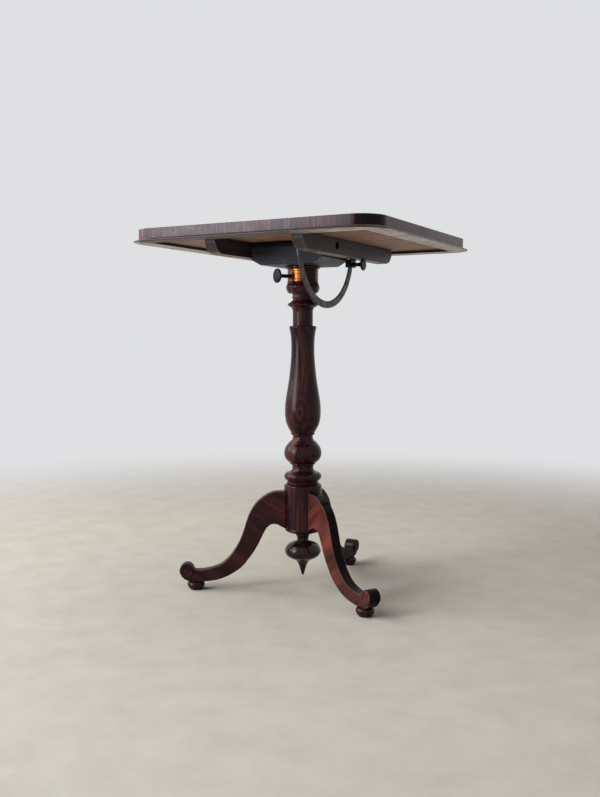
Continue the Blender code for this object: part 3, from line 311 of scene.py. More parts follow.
# The side of the column that the photo shows, as an angle from +X, and the eyes of its wood's figure:
# each one's place, size, and how much it is flattened in height
FRONT_TURN = radians(-61.8)
VASE_FOOT = COLUMN_FOOT + sum(turning[0] for turning in LOWER_TURNINGS)
VASE_EYE_TURN = -10
VASE_EYE_RADIUS = 0.037
VASE_EYE_Z = VASE_FOOT + VASE_HEIGHT / 5
VASE_EYE_SHAPE = (0.030, 0.6)
BALL_EYE_DROP = 0.0393
BALL_EYE_RADIUS = 0.0387
BALL_EYE_SHAPE = (0.016, 1.3)

# The border and stringing in the top, where the front rim's darkening towards the left fades out, and where
# the painted shade on the facing begins
BORDER_WIDTH = 0.034
STRING_WIDTH = 0.0014
DARKENING_RUN = (0.09, 0.17)
PAINTED_SHADE_SHIFT = 0.008

# The floor, the background, the camera, and each lamp's azimuth from +X, elevation, distance, size, power
# and colour
FLOOR_RADIUS = 2.6
FLOOR_FADE = (0.9, 2.3)
BACKGROUND = (0.74, 0.745, 0.76)
EVEN_LIGHT = 0.12
LAMP_AIM = (0, 0, 0.42)
LAMPS = (
    ("window", -120, 14, 3.3, (1.1, 2.0), 58, (0.78, 0.89, 1.0)),
    ("left_bank", -150, 30, 4.0, (4.3, 3.1), 156, (1.0, 0.985, 0.96)),
    ("overhead", 60, 80, 2.6, (2.6, 2.6), 24, (1.0, 0.99, 0.97)),
)
CAMERA_LENS = 40.43
CAMERA_SENSOR = 36.0
CAMERA_PLACE = (0.8714, -1.6456, 0.5224)
CAMERA_TILT = 86.108
CAMERA_TURN = 28.402

PLANES = {
    "XY": Matrix.Identity(4),
    "YZ": Matrix(((0, 0, 1, 0), (1, 0, 0, 0), (0, 1, 0, 0), (0, 0, 0, 1))),
    "XZ": Matrix(((1, 0, 0, 0), (0, 0, 1, 0), (0, 1, 0, 0), (0, 0, 0, 1))),
}


# Outlines

def smooth(points, steps=CURVE_STEPS):
    """A smooth curve through the points."""
    path = []
    last = len(points) - 1
    for i in range(last):
        before, start = Vector(points[max(i - 1, 0)]), Vector(points[i])
        end, after = Vector(points[i + 1]), Vector(points[min(i + 2, last)])
        for step in range(steps):
            t = step / steps
            path.append(
                (
                    start * 2 + (end - before) * t
                    + (before * 2 - start * 5 + end * 4 - after) * t**2
                    + (start * 3 - before - end * 3 + after) * t**3
                ) / 2
            )
    path.append(Vector(points[-1]))
    return [tuple(point) for point in path]


def arc(centre, radius, start, end, steps):
    """Points along a round stretch, with the angles in degrees from the first axis."""
    turns = [radians(start + (end - start) * i / steps) for i in range(steps + 1)]
    return [(centre[0] + radius * cos(a), centre[1] + radius * sin(a)) for a in turns]


def band(inner, outer, start, end, steps):
    """A round band about the tilt's pivot, as (y, z) points."""
    pivot = (PIVOT_Y, PIVOT_Z)
    return arc(pivot, outer, start, end, steps) + arc(pivot, inner, end, start, steps)


def turning_outline(turnings, top):
    """The stacked turnings' outline as (radius, z) points, from the top down."""
    outline = []
    for height, radius, shares in turnings:
        steps = 1 if shares is PLAIN_SHARES else CURVE_STEPS
        outline += smooth([(r * radius, top - t * height) for t, r in shares], steps)
        top -= height
    return outline


# Meshes

def finished(bm, name, smooth_shading=True):
    """The mesh of a bmesh, with its faces turned outwards."""
    bmesh.ops.remove_doubles(bm, verts=bm.verts, dist=0.000001)
    bmesh.ops.recalc_face_normals(bm, faces=bm.faces)
    mesh = bpy.data.meshes.new(name)
    bm.to_mesh(mesh)
    bm.free()
    if smooth_shading:
        mesh.shade_smooth()
        mesh.set_sharp_from_angle(angle=SHARP)
    return mesh


def turned(name, outline, ring=False, steps=ROUND_STEPS, turn=None):
    """An outline of (radius, z) points from the top down, turned about Z. A ring's outline closes."""
    bm = bmesh.new()
    points = [bm.verts.new((r, 0, z)) for r, z in outline]
    lines = [bm.edges.new(pair) for pair in zip(points, points[1:] + (points[:1] if ring else []))]
    bmesh.ops.spin(bm, geom=points + lines, axis=(0, 0, 1), angle=2 * pi, steps=steps, use_merge=True)
    if turn is not None:
        bmesh.ops.transform(bm, matrix=turn, verts=bm.verts)
    return finished(bm, name)


def plate(name, outline, low, high, plane="XY"):
    """A flat outline in a plane, thick from low to high along the axis that the plane leaves out."""
    bm = bmesh.new()
    floor = [bm.verts.new((x, y, low)) for x, y in outline]
    roof = [bm.verts.new((x, y, high)) for x, y in outline]
    bm.faces.new(floor)
    bm.faces.new(roof)
    for i in range(len(outline)):
        j = (i + 1) % len(outline)
        bm.faces.new((floor[i], floor[j], roof[j], roof[i]))
    bmesh.ops.transform(bm, matrix=PLANES[plane], verts=bm.verts)
    return finished(bm, name, smooth_shading=False)


def box(name, low, high):
    """A block between its lowest and highest corners."""
    outline = ((low[0], low[1]), (high[0], low[1]), (high[0], high[1]), (low[0], high[1]))
    return plate(name, outline, low[2], high[2])


def put(name, data):
    """A new object in the scene."""
    made = bpy.data.objects.new(name, data)
    bpy.context.scene.collection.objects.link(made)
    return made


def applied(mesh, steps):
    """A copy of a mesh with modifiers worked into it, each given as its kind and its settings."""
    work = put(mesh.name, mesh)
    tools = []
    for kind, settings in steps:
        modifier = work.modifiers.new(kind, kind)
        for key, value in settings.items():
            if isinstance(value, bpy.types.Mesh):
                value = put("tool", value)
                tools.append(value)
            setattr(modifier, key, value)
    graph = bpy.context.evaluated_depsgraph_get()
    made = bpy.data.meshes.new_from_object(work.evaluated_get(graph))
    for extra in tools + [work]:
        bpy.data.objects.remove(extra, do_unlink=True)
    made.name = mesh.name
    return made


def settled(mesh):
    """A mesh with smooth faces, sharp edges and flat faces that shade as flat."""
    mesh.shade_smooth()
    mesh.set_sharp_from_angle(angle=SHARP)
    return applied(mesh, [("WEIGHTED_NORMAL", {"keep_sharp": True})])


def boolean(operation, other):
    """A step that combines a mesh with another."""
    return ("BOOLEAN", {"operation": operation, "solver": "EXACT", "object": other})


def shaped(mesh, width, kept=(), cutters=(), segments=3):
    """A copy of a mesh: what lies in the kept pieces, its edges rounded, and then the cutters cut away."""
    rounding = {"width": width, "segments": segments, "limit_method": "ANGLE", "angle_limit": SHARP}
    steps = [boolean("INTERSECT", other) for other in kept]
    steps.append(("BEVEL", rounding))
    steps += [boolean("DIFFERENCE", other) for other in cutters]
    return settled(applied(mesh, steps))


def joined(name, *meshes):
    """One mesh from several."""
    bm = bmesh.new()
    for mesh in meshes:
        bm.from_mesh(mesh)
    made = bpy.data.meshes.new(name)
    bm.to_mesh(made)
    bm.free()
    return settled(made)


def placed(spot, axis="Z", degrees=0.0):
    """A turn about an axis through the origin, and then a shift to a spot."""
    return Matrix.Translation(spot) @ Matrix.Rotation(radians(degrees), 4, axis)


def top_path(outset):
    """The facing's outline round the top, moved outwards, as points from the right corner on."""
    x, y = FACE_WIDTH / 2 - CORNER_RADIUS, FACE_DEPTH / 2 - CORNER_RADIUS
    corners = ((x, y, 0), (-x, y, 90), (-x, -y, 180), (x, -y, 270))
    radius = CORNER_RADIUS + outset
    return [p for cx, cy, a in corners for p in arc((cx, cy + TOP_SETBACK), radius, a, a + 90, CORNER_STEPS)]


def moulding(name, section):
    """A closed section of (reach, z) points, swept round the top."""
    bm = bmesh.new()
    rings = [[bm.verts.new((x, y, z)) for x, y in top_path(reach)] for reach, z in section]
    for lower, upper in zip(rings, rings[1:] + rings[:1]):
        for i in range(len(lower)):
            j = (i + 1) % len(lower)
            bm.faces.new((lower[i], lower[j], upper[j], upper[i]))
    return finished(bm, name)


# Pieces

def piece(mesh, body, nodes, looks, turn=0.0):
    """Puts a mesh in the scene in place of CAD nodes, with its looks and the body that it rides on."""
    made = put(mesh.name, mesh)
    made.location = (0, COLUMN_Y, 0)
    made.rotation_euler.z = radians(turn)
    for look in looks:
        mesh.materials.append(LOOKS[look])
    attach(made, body)
    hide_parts(*nodes)


def dress(names, look):
    """Gives a look to CAD nodes that stay."""
    for name in names:
        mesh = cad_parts[name].data
        mesh.materials.clear()
        mesh.materials.append(LOOKS[look])


def make_column():
    bush_seat = COLUMN_TOP - COLLAR_BUSH_LENGTH - GAP
    bore_floor = POLE_BOTTOM - GAP
    hole = DOWEL_RADIUS + GAP
    outline = [(0, bore_floor), (POLE_BORE, bore_floor), (POLE_BORE, bush_seat)]
    outline += [(COLLAR_BUSH_RADIUS + GAP, bush_seat), (COLLAR_BUSH_RADIUS + GAP, COLUMN_TOP)]
    outline += turning_outline(COLUMN_TURNINGS, COLUMN_TOP)
    outline += [(hole, COLUMN_FOOT), (hole, DOWEL_TOP + GAP), (0, DOWEL_TOP + GAP)]
    piece(turned("turned_column", outline), "base", ["column"], ["column"])


def make_collar():
    rim = COLLAR_RADIUS
    lines = (
        COLLAR_TOP - COLLAR_LINE_DROP,
        COLLAR_SCREW_Z + THUMB_SHANK,
        COLLAR_SCREW_Z - THUMB_SHANK - COLLAR_LINE_GAP,
    )
    outline = [(POLE_BORE, COLLAR_TOP), (rim - EDGE, COLLAR_TOP), (rim, COLLAR_TOP - EDGE)]
    for z in lines:
        depth = COLLAR_LINE_DEPTH
        outline += [(rim, z + depth), (rim - depth, z), (rim, z - depth)]
    bush_foot = COLLAR_FOOT - COLLAR_BUSH_LENGTH
    outline += [(rim, COLLAR_FOOT + EDGE), (rim - EDGE, COLLAR_FOOT)]
    outline += [(COLLAR_BUSH_RADIUS, COLLAR_FOOT), (COLLAR_BUSH_RADIUS, bush_foot), (POLE_BORE, bush_foot)]
    piece(turned("turned_collar", outline, ring=True), "base", ["collar"], ["brass"])


def make_cap_and_finial():
    hole = DOWEL_RADIUS + GAP
    outline = [(hole, CAP_TOP)] + turning_outline(((CAP_HEIGHT, CAP_RADIUS, CAP_SHARES),), CAP_TOP)
    outline.append((hole, CAP_TOP - CAP_HEIGHT))
    piece(turned("turned_cap", outline, ring=True), "base", ["base_cap"], ["dark"])
    outline = [(0, DOWEL_TOP), (DOWEL_RADIUS, DOWEL_TOP), (DOWEL_RADIUS, FINIAL_TOP)]
    outline += turning_outline(FINIAL_TURNINGS, FINIAL_TOP)
    outline.append((0, outline[-1][1] - EDGE))
    piece(turned("turned_finial", outline), "base", ["finial"], ["finial"])


def leg_outline():
    """A leg from the side, from its root over the scroll and back along its underside, as (x, z)."""
    root = BODY_RADIUS - EDGE
    upper, heel, lower = [
        [(x * LEG_LENGTH, z * LEG_RISE) for x, z in shares]
        for shares in (LEG_UPPER_SHARES, LEG_HEEL_SHARES, LEG_LOWER_SHARES)
    ]
    upper = smooth([(root, LEG_RISE)] + upper)
    lower = smooth([(FOOT_CIRCLE - LEG_SEAT_HALF, LEG_SEAT)] + lower + [(root, COLUMN_FOOT)])
    roll = arc((LEG_LENGTH, SCROLL_HEIGHT), SCROLL_RADIUS - EDGE / 2, *SCROLL_ANGLES, CORNER_STEPS)
    return upper + roll + heel + [(FOOT_CIRCLE + LEG_SEAT_HALF, LEG_SEAT)] + lower


def make_roll():
    """The scroll's roll, turned with a dished eye in each end."""
    side, eye, rim = SCROLL_HALF_WIDTH, SCROLL_EYE_RADIUS, SCROLL_RADIUS
    half = [(eye * share, side - depth) for share, depth in SCROLL_EYE]
    half.append((eye + EDGE, side - SCROLL_EYE_LIP))
    half += [(rim - inset, side - depth) for inset, depth in SCROLL_RIM]
    outline = half + [(r, -z) for r, z in reversed(half)]
    return turned("roll", outline, steps=ROLL_STEPS, turn=placed((LEG_LENGTH, 0, SCROLL_HEIGHT), "X", 90))


def make_legs():
    half = LEG_THICKNESS / 2
    top, foot = LEG_RISE + OVERRUN, CAP_TOP - CAP_HEIGHT
    shoulder = (
        (0, top), (BAND_RADIUS + GAP, top), (BAND_RADIUS + GAP, BAND_BOTTOM - GAP),
        (BODY_RADIUS + GAP, BAND_BOTTOM - GAP), (BODY_RADIUS + GAP, COLUMN_FOOT),
        (CAP_RADIUS + GAP, COLUMN_FOOT), (CAP_RADIUS + GAP, foot), (0, foot),
    )
    peg_top = FOOT_HEIGHT + PEG_LENGTH
    pad = [(0, peg_top), (PEG_RADIUS, peg_top), (PEG_RADIUS, FOOT_HEIGHT)]
    pad += turning_outline(((FOOT_HEIGHT, FOOT_RADIUS, FOOT_SHARES),), FOOT_HEIGHT)
    pad.append((0, 0))
    seat = Matrix.Translation((FOOT_CIRCLE, 0, 0))
    for place, degrees in LEG_TURNS.items():
        blank = plate("leg_blank", leg_outline(), -half, half, plane="XZ")
        leg = shaped(blank, LEG_ARRIS, cutters=[turned("shoulder", shoulder)])
        mesh = joined(f"scroll_leg_{place}", leg, make_roll())
        for face in mesh.polygons:
            flatness = abs(face.normal.y)
            before_roll = face.center.x < LEG_LENGTH - SCROLL_RADIUS
            # The upper arrises get a lighter look: wear and a painted highlight
            worn = flatness > HALFWAY and face.normal.z > 0 and before_roll
            # Faces other than the flat sides, the roll's too, get the edge looks, which carry painted shade
            face.material_index = 0 if flatness > MOSTLY else 2 if worn else 1
        faces = [f"leg_{place}", f"edge_{place}", "arris"]
        piece(mesh, "base", [f"leg_{place}"], faces, degrees)
        mesh = turned(f"turned_foot_{place}", pad, steps=SMALL_ROUND_STEPS, turn=seat)
        piece(mesh, "base", [f"foot_{place}"], ["foot"], degrees)


def thumbscrew(name, tip, disc, turn):
    """A thumbscrew, turned from the face of its disc down to its tip."""
    reach, radius = disc
    foot = reach - DISC_THICKNESS
    dome = (radius * DISC_DOME_SHARE, reach - DISC_DOME_DROP)
    face = smooth([(0, reach), dome, (radius - EDGE, reach - DISC_FACE_DROP)])
    edge = [(radius - inset, reach - drop) for inset, drop in DISC_FRONT]
    edge += [(radius - inset, foot + rise) for inset, rise in DISC_BACK]
    waist = ((FLARE_RADIUS + THUMB_SHANK) / 2, foot - FLARE_LENGTH / 3)
    flare = [(radius - DISC_BACK_INSET, foot), (FLARE_RADIUS, foot - FLARE_DROP), waist]
    flare.append((THUMB_SHANK, foot - FLARE_LENGTH))
    shank = [(THUMB_SHANK, tip + EDGE), (THUMB_SHANK - EDGE, tip), (0, tip)]
    outline = face + edge + smooth(flare, EDGE_STEPS) + shank
    return turned(name, outline, steps=SMALL_ROUND_STEPS, turn=turn)


def make_thumbscrews():
    turn = placed((0, 0, COLLAR_SCREW_Z), "Z", COLLAR_SCREW_TURN) @ placed((0, 0, 0), "Y", 90)
    mesh = thumbscrew("collar_grip", POLE_RADIUS + GAP, COLLAR_DISC, turn)
    piece(mesh, "collar_screw", ["collar_thumbscrew"], ["black_iron"])
    turn = placed((0, CLAMP_SCREW_Y, CLAMP_SCREW_Z), "Y", 90)
    mesh = thumbscrew("clamp_grip", ARC_HIGH_X + GAP, CLAMP_DISC, turn)
    piece(mesh, "clamp_screw", ["clamp_thumbscrew"], ["black_iron"])


def make_pole_and_flange():
    outline = (
        (0, POLE_TOP), (POLE_RADIUS - EDGE, POLE_TOP), (POLE_RADIUS, POLE_TOP - EDGE),
        (POLE_RADIUS, POLE_BOTTOM + EDGE), (POLE_RADIUS - EDGE, POLE_BOTTOM), (0, POLE_BOTTOM),
    )
    piece(turned("turned_pole", outline), "pole", ["pole"], ["dark"])
    rim = FLANGE_RADIUS
    outline = [(POLE_BORE, FLANGE_TOP), (rim - EDGE, FLANGE_TOP), (rim, FLANGE_TOP - EDGE)]
    centre = (rim - FLANGE_ROUND, FLANGE_BOTTOM + FLANGE_ROUND)
    outline += arc(centre, FLANGE_ROUND, 0, -90, EDGE_STEPS) + [(POLE_BORE, FLANGE_BOTTOM)]
    mesh = turned("turned_flange", outline, ring=True)
    piece(mesh, "head", ["head_flange"], ["dark"])


def make_block():
    cross = (
        (-BLOCK_FOOT_HALF_WIDTH, BLOCK_BOTTOM), (BLOCK_FOOT_HALF_WIDTH, BLOCK_BOTTOM),
        (BLOCK_HALF_WIDTH, BLOCK_BOTTOM + BLOCK_BEVEL), (BLOCK_HALF_WIDTH, RIM_TOP),
        (-BLOCK_HALF_WIDTH, RIM_TOP), (-BLOCK_HALF_WIDTH, BLOCK_BOTTOM + BLOCK_BEVEL),
    )
    nose = PIVOT_Y - PIVOT_DROP
    outer, back, under = BLOCK_HALF_WIDTH + OVERRUN, BLOCK_BACK + OVERRUN, BLOCK_BOTTOM - OVERRUN
    side = [(nose, under)] + arc((PIVOT_Y, PIVOT_Z), PIVOT_DROP, 180, 90, NOSE_STEPS)
    side += [(PIVOT_Y, RIM_TOP + OVERRUN), (back, RIM_TOP + OVERRUN), (back, under)]
    clamp_front = CLAMP_SCREW_Y - CLAMP_DEPTH / 2
    plate_x = BLOCK_HALF_WIDTH - CLAMP_PLATE_THICKNESS - GAP
    clamp_seat = (CLAMP_LOW_X - GAP, clamp_front - GAP, CLAMP_BOTTOM - OVERRUN)
    plate_seat = (plate_x, CLAMP_PLATE_FRONT - GAP, CLAMP_PLATE_BOTTOM - GAP)
    pockets = [
        box("pocket", clamp_seat, (outer, back, CLAMP_TOP + GAP)),
        box("pocket", plate_seat, (outer, back, CLAMP_PLATE_TOP + GAP)),
    ]
    blank = plate("block_blank", cross, nose - OVERRUN, BLOCK_BACK, plane="XZ")
    mesh = shaped(blank, BLOCK_ARRIS, [plate("side", side, -outer, outer, plane="YZ")], pockets)
    mesh.name = "shaped_block"
    for face in mesh.polygons:
        # The lower right bevel gets a paler, more scuffed look: wear and painted light
        right_bevel = face.normal.x > SLANTED and face.normal.z < -SLANTED
        face.material_index = 1 if right_bevel else 0
    piece(mesh, "head", ["pivot_block"], ["block", "worn_block_painted_light"])


def bearer_outline():
    """A bearer from the side, with both ends swept up, as (y, z)."""
    turns = [radians(90 * i / NOSE_STEPS) for i in range(NOSE_STEPS + 1)]
    sweep = [(1 - cos(a), BEARER_BOTTOM + BEARER_NOSE_HEIGHT * (1 - sin(a))) for a in turns]
    front = [(BEARER_FRONT + BEARER_NOSE_LENGTH * share, z) for share, z in sweep]
    back = [(BEARER_BACK - BEARER_NOSE_LENGTH * share, z) for share, z in sweep]
    seat = BOARD_BOTTOM - GAP
    return [(BEARER_FRONT, seat)] + front + back[::-1] + [(BEARER_BACK, seat)]


def make_bearers():
    across = placed((0, PIVOT_Y, PIVOT_Z), "Y", 90)
    painted_shade_black, mouth = BEARER_BOTTOM + BEARER_SCREW_SINK, BEARER_BOTTOM - OVERRUN
    hole = ((0, painted_shade_black), (BEARER_SCREW_HOLE, painted_shade_black), (BEARER_SCREW_HOLE, mouth), (0, mouth))
    for place, side in (("left", -1), ("right", 1)):
        low, high = sorted((side * BEARER_INNER_X, side * BEARER_OUTER_X))
        blank = plate("bearer_blank", bearer_outline(), low, high, plane="YZ")
        floor = side * (BEARER_OUTER_X - WELL_DEPTH)
        brim = side * (BEARER_OUTER_X + OVERRUN)
        well = ((0, brim), (COUNTERBORE_RADIUS, brim), (COUNTERBORE_RADIUS, floor), (0, floor))
        cutters = [turned("well", well, steps=ROLL_STEPS, turn=across)]
        x = side * (BEARER_INNER_X + BEARER_THICKNESS / 2)
        for share in BEARER_SCREW_SHARES:
            y = BEARER_FRONT + share * (BEARER_BACK - BEARER_FRONT)
            cutters.append(turned("hole", hole, steps=HOLE_STEPS, turn=Matrix.Translation((x, y, 0))))
        if place == "right":
            rebate = band(ARC_INNER - GAP, ARC_OUTER + GAP, *ARC_REBATE_ANGLES, REBATE_STEPS)
            cutters.append(plate("rebate", rebate, BEARER_INNER_X - OVERRUN, ARC_HIGH_X + GAP, plane="YZ"))
        mesh = shaped(blank, BEARER_ARRIS, cutters=cutters)
        mesh.name = f"shaped_bearer_{place}"
        for face in mesh.polygons:
            arris = SLIGHTLY < abs(face.normal.x) < SQUARE and face.normal.z < -SLIGHTLY
            face.material_index = 1 if arris or face.normal.z < -SQUARE else 0
        faces = ["bearer", "worn_bearer"]
        piece(mesh, "top", [f"bearer_{place}"], faces)


def make_arc():
    outline = band(ARC_INNER, ARC_OUTER, *ARC_ANGLES, ARC_STEPS)
    blank = plate("iron_arc", outline, ARC_LOW_X, ARC_HIGH_X, plane="YZ")
    piece(shaped(blank, ARC_ARRIS, segments=2), "top", ["tilt_arc"], ["arc_iron"])


def make_board():
    """The board: its veneered field, stringing and mitred border above, and its plain underside."""
    field, border_x, stringing, plain = 0, 1, 3, 4
    bm = bmesh.new()
    path = top_path(-FACING_THICKNESS - GAP)
    upper = [bm.verts.new((x, y, TOP_HEIGHT)) for x, y in path]
    lower = [bm.verts.new((x, y, BOARD_BOTTOM)) for x, y in path]
    count = len(path)
    for i in range(count):
        j = (i + 1) % count
        bm.faces.new((lower[i], lower[j], upper[j], upper[i])).material_index = plain
    bm.faces.new(lower).material_index = plain
    frames = []
    for inset in (BORDER_WIDTH, BORDER_WIDTH + STRING_WIDTH):
        x, y = FACE_WIDTH / 2 - inset, FACE_DEPTH / 2 - inset
        corners = ((x, y), (-x, y), (-x, -y), (x, -y))
        frames.append([bm.verts.new((cx, cy + TOP_SETBACK, TOP_HEIGHT)) for cx, cy in corners])
    outer, inner = frames
    middle = CORNER_STEPS // 2
    span = CORNER_STEPS + 1
    for side in range(4):
        following = (side + 1) % 4
        edge = [upper[(side * span + middle + i) % count] for i in range(span + 1)]
        border = bm.faces.new(edge + [outer[following], outer[side]])
        border.material_index = border_x + side % 2
        string = bm.faces.new((outer[side], outer[following], inner[following], inner[side]))
        string.material_index = stringing
    bm.faces.new(inner).material_index = field
    mesh = finished(bm, "veneered_board")
    faces = ["field", "border_x", "border_y", "stringing", "underside"]
    piece(mesh, "top", ["top_board"], faces)


def make_rims():
    """The four mitred pieces of the rim under the board, each made as the front one and then turned."""
    wide, painted_shade_black = (FACE_WIDTH, FACE_DEPTH), (FACE_DEPTH, FACE_WIDTH)
    sides = {
        "front": (0, wide, "rim_front"), "right": (90, painted_shade_black, "rim_y"),
        "back": (180, wide, "rim_x"), "left": (270, painted_shade_black, "rim_y"),
    }
    radius, half_steps = CORNER_RADIUS - GAP, CORNER_STEPS // 2
    for side, (turn, (width, depth), bottom) in sides.items():
        x, y = width / 2 - CORNER_RADIUS, -depth / 2 + CORNER_RADIUS
        outline = arc((-x, y), radius, 225, 270, half_steps) + arc((x, y), radius, 270, 315, half_steps)
        inner_x, inner_y = width / 2 - RIM_WIDTH, -depth / 2 + RIM_WIDTH
        outline += [(inner_x, inner_y), (-inner_x, inner_y)]
        outline = [(px - GAP * px / abs(px), py) for px, py in outline]
        blank = plate(f"mitred_rim_{side}", outline, RIM_BOTTOM, RIM_TOP)
        mesh = shaped(blank, RIM_ARRIS, segments=2)
        mesh.transform(placed((0, TOP_SETBACK, 0), "Z", turn))
        for face in mesh.polygons:
            # The rim's sides get a near black look: painted shade under the board
            face.material_index = 1 if abs(face.normal.z) < SLANTED else 0
        piece(mesh, "top", [f"rim_{side}"], [bottom, "rim_inside"])


def make_edging():
    """The facing round the board's edge, with painted shade at its near corner, and the lip under it."""
    edge = FACING_ROUND
    facing = [(-FACING_THICKNESS, TOP_HEIGHT)] + arc((-edge, TOP_HEIGHT - edge), edge, 90, 0, EDGE_STEPS)
    facing += [(0, BOARD_BOTTOM), (-FACING_THICKNESS, BOARD_BOTTOM)]
    sides = ("front", "right", "back", "left")
    nodes = [f"frieze_{side}" for side in sides] + [f"frieze_corner_{side}" for side in sides]
    mesh = moulding("facing_band", facing)
    # The facing's near corner gets a darker look: painted shade
    shade_from = FACE_WIDTH / 2 - CORNER_RADIUS + PAINTED_SHADE_SHIFT
    shade_to = TOP_SETBACK - FACE_DEPTH / 2 + CORNER_RADIUS
    for face in mesh.polygons:
        face.material_index = 1 if face.center.x > shade_from and face.center.y < shade_to else 0
    piece(mesh, "top", nodes, ["facing", "painted_shade_facing"])
    rise = RIM_THICKNESS - LIP_NOSE
    cove = [(LIP_REACH * x, RIM_BOTTOM + LIP_NOSE + rise * z) for x, z in LIP_SHARES]
    centre = (LIP_REACH - LIP_ROUND, RIM_BOTTOM + LIP_ROUND_HEIGHT)
    section = smooth(cove, COVE_STEPS) + arc(centre, LIP_ROUND, *LIP_ROUND_ANGLES, EDGE_STEPS)
    mesh = moulding("lip_band", section + [(0, RIM_BOTTOM)])
    front_edge = TOP_SETBACK - FACE_DEPTH / 2 + GAP
    for face in mesh.polygons:
        if face.normal.z < -SQUARE:
            face.material_index = 2 if face.center.y < front_edge else 1
    nodes = [node.replace("frieze", "lip") for node in nodes]
    piece(mesh, "top", nodes, ["lip", "rim_x", "rim_front"])


# Looks

def add_node(tree, kind, *values, out=0, **settings):
    """Adds a node, fills its inputs in order, and gives one of its outputs."""
    node = tree.nodes.new("ShaderNode" + kind)
    for key, value in settings.items():
        setattr(node, key, value)
    for socket, value in zip(node.inputs, values):
        if isinstance(value, bpy.types.NodeSocket):
            tree.links.new(value, socket)
        elif value is not None:
            socket.default_value = value
    return node.outputs[out]


class Look:
    """A material, built one node at a time."""

    def __init__(self, name, roughness=0.5, metallic=0.0, specular=0.5):
        self.material = bpy.data.materials.new(name)
        self.material.use_nodes = True
        self.tree = self.material.node_tree
        self.shader = self.tree.nodes["Principled BSDF"]
        self.shader.inputs["Roughness"].default_value = roughness
        self.shader.inputs["Metallic"].default_value = metallic
        self.shader.inputs["Specular IOR Level"].default_value = specular
        self.place = self.add("TexCoord", out="Object")

    def add(self, kind, *values, **settings):
        return add_node(self.tree, kind, *values, **settings)

    def math(self, operation, *values):
        return self.add("Math", *values, operation=operation)

    def vector(self, operation, *values, out=0):
        return self.add("VectorMath", *values, out=out, operation=operation)

    def scaled(self, place, scale, turn=(0, 0, 0)):
        turn = [radians(angle) for angle in turn]
        turned_place = self.add("Mapping", place, (0, 0, 0), turn, (1, 1, 1), vector_type="POINT")
        return self.vector("MULTIPLY", turned_place, scale)

    def noise(self, place, scale=1.0, detail=3.0, roughness=0.5, distortion=0.0):
        """Noise at one scale, or at one for each axis."""
        if isinstance(scale, tuple):
            place, scale = self.scaled(place, scale), 1.0
        values = (place, None, scale, detail, roughness, None, None, None, distortion)
        return self.add("TexNoise", *values)

    def drift(self, place, scale, detail, amount):
        """A small random shift of a place, of its own along each axis."""
        cloud = self.add("TexNoise", self.scaled(place, scale), None, 1.0, detail, out=1)
        return self.vector("MULTIPLY", self.vector("SUBTRACT", cloud, (0.5, 0.5, 0.5)), amount)

    def ramp(self, value, *stops):
        """A colour ramp from (place, colour) stops. A bare number is a grey."""
        node = self.tree.nodes.new("ShaderNodeValToRGB")
        self.tree.links.new(value, node.inputs[0])
        points = node.color_ramp.elements
        while len(points) < len(stops):
            points.new(0.5)
        for point, (place, colour) in zip(points, stops):
            point.position = place
            point.color = (*colour, 1) if isinstance(colour, tuple) else (colour, colour, colour, 1)
        return node.outputs[0]

    def mix(self, factor, first, second, kind="MIX"):
        values = [factor, None, None, None, None, None, first, second]
        values[6:] = [(*v, 1) if isinstance(v, tuple) else v for v in values[6:]]
        return self.add("Mix", *values, out=2, data_type="RGBA", blend_type=kind)

    def range(self, value, low, high, to_low, to_high):
        return self.add("MapRange", value, low, high, to_low, to_high)

    def done(self, colour, roughness=None, bump=None, depth=None):
        """The material, once its colour, roughness and bump of some depth in metres are joined up."""
        self.tree.links.new(colour, self.shader.inputs["Base Color"])
        if roughness is not None:
            self.tree.links.new(roughness, self.shader.inputs["Roughness"])
        if bump is not None:
            normal = self.add("Bump", 1.0, depth, None, bump)
            self.tree.links.new(normal, self.shader.inputs["Normal"])
        return self.material


def front(radius, z, turn=0.0):
    """The place on a turned surface that faces the camera, or turned away from there by some degrees."""
    angle = FRONT_TURN + radians(turn)
    return (radius * cos(angle), radius * sin(angle), z)


def with_eyes(look, streak, place, eyes):
    """The streaks with ragged ovals over them round each eye of the figure, as (place, size, stretch)."""
    ragged = look.drift(place, (70, 70, 45), 3.0, (0.012, 0.012, 0.012))
    for spot, size, stretch in eyes:
        away = look.vector("MULTIPLY", look.vector("SUBTRACT", look.place, spot), (1, 1, stretch))
        away = look.vector("LENGTH", look.vector("ADD", away, ragged), out=1)
        wave = look.math("SINE", look.math("SUBTRACT", look.math("MULTIPLY", away, 15 / size), pi / 2))
        ovals = look.range(wave, -1.0, 1.0, 0.34, 0.62)
        near = look.range(away, 0.35 * size, size, 0.85, 0.0)
        streak = look.add("Mix", near, None, streak, ovals)
    return streak


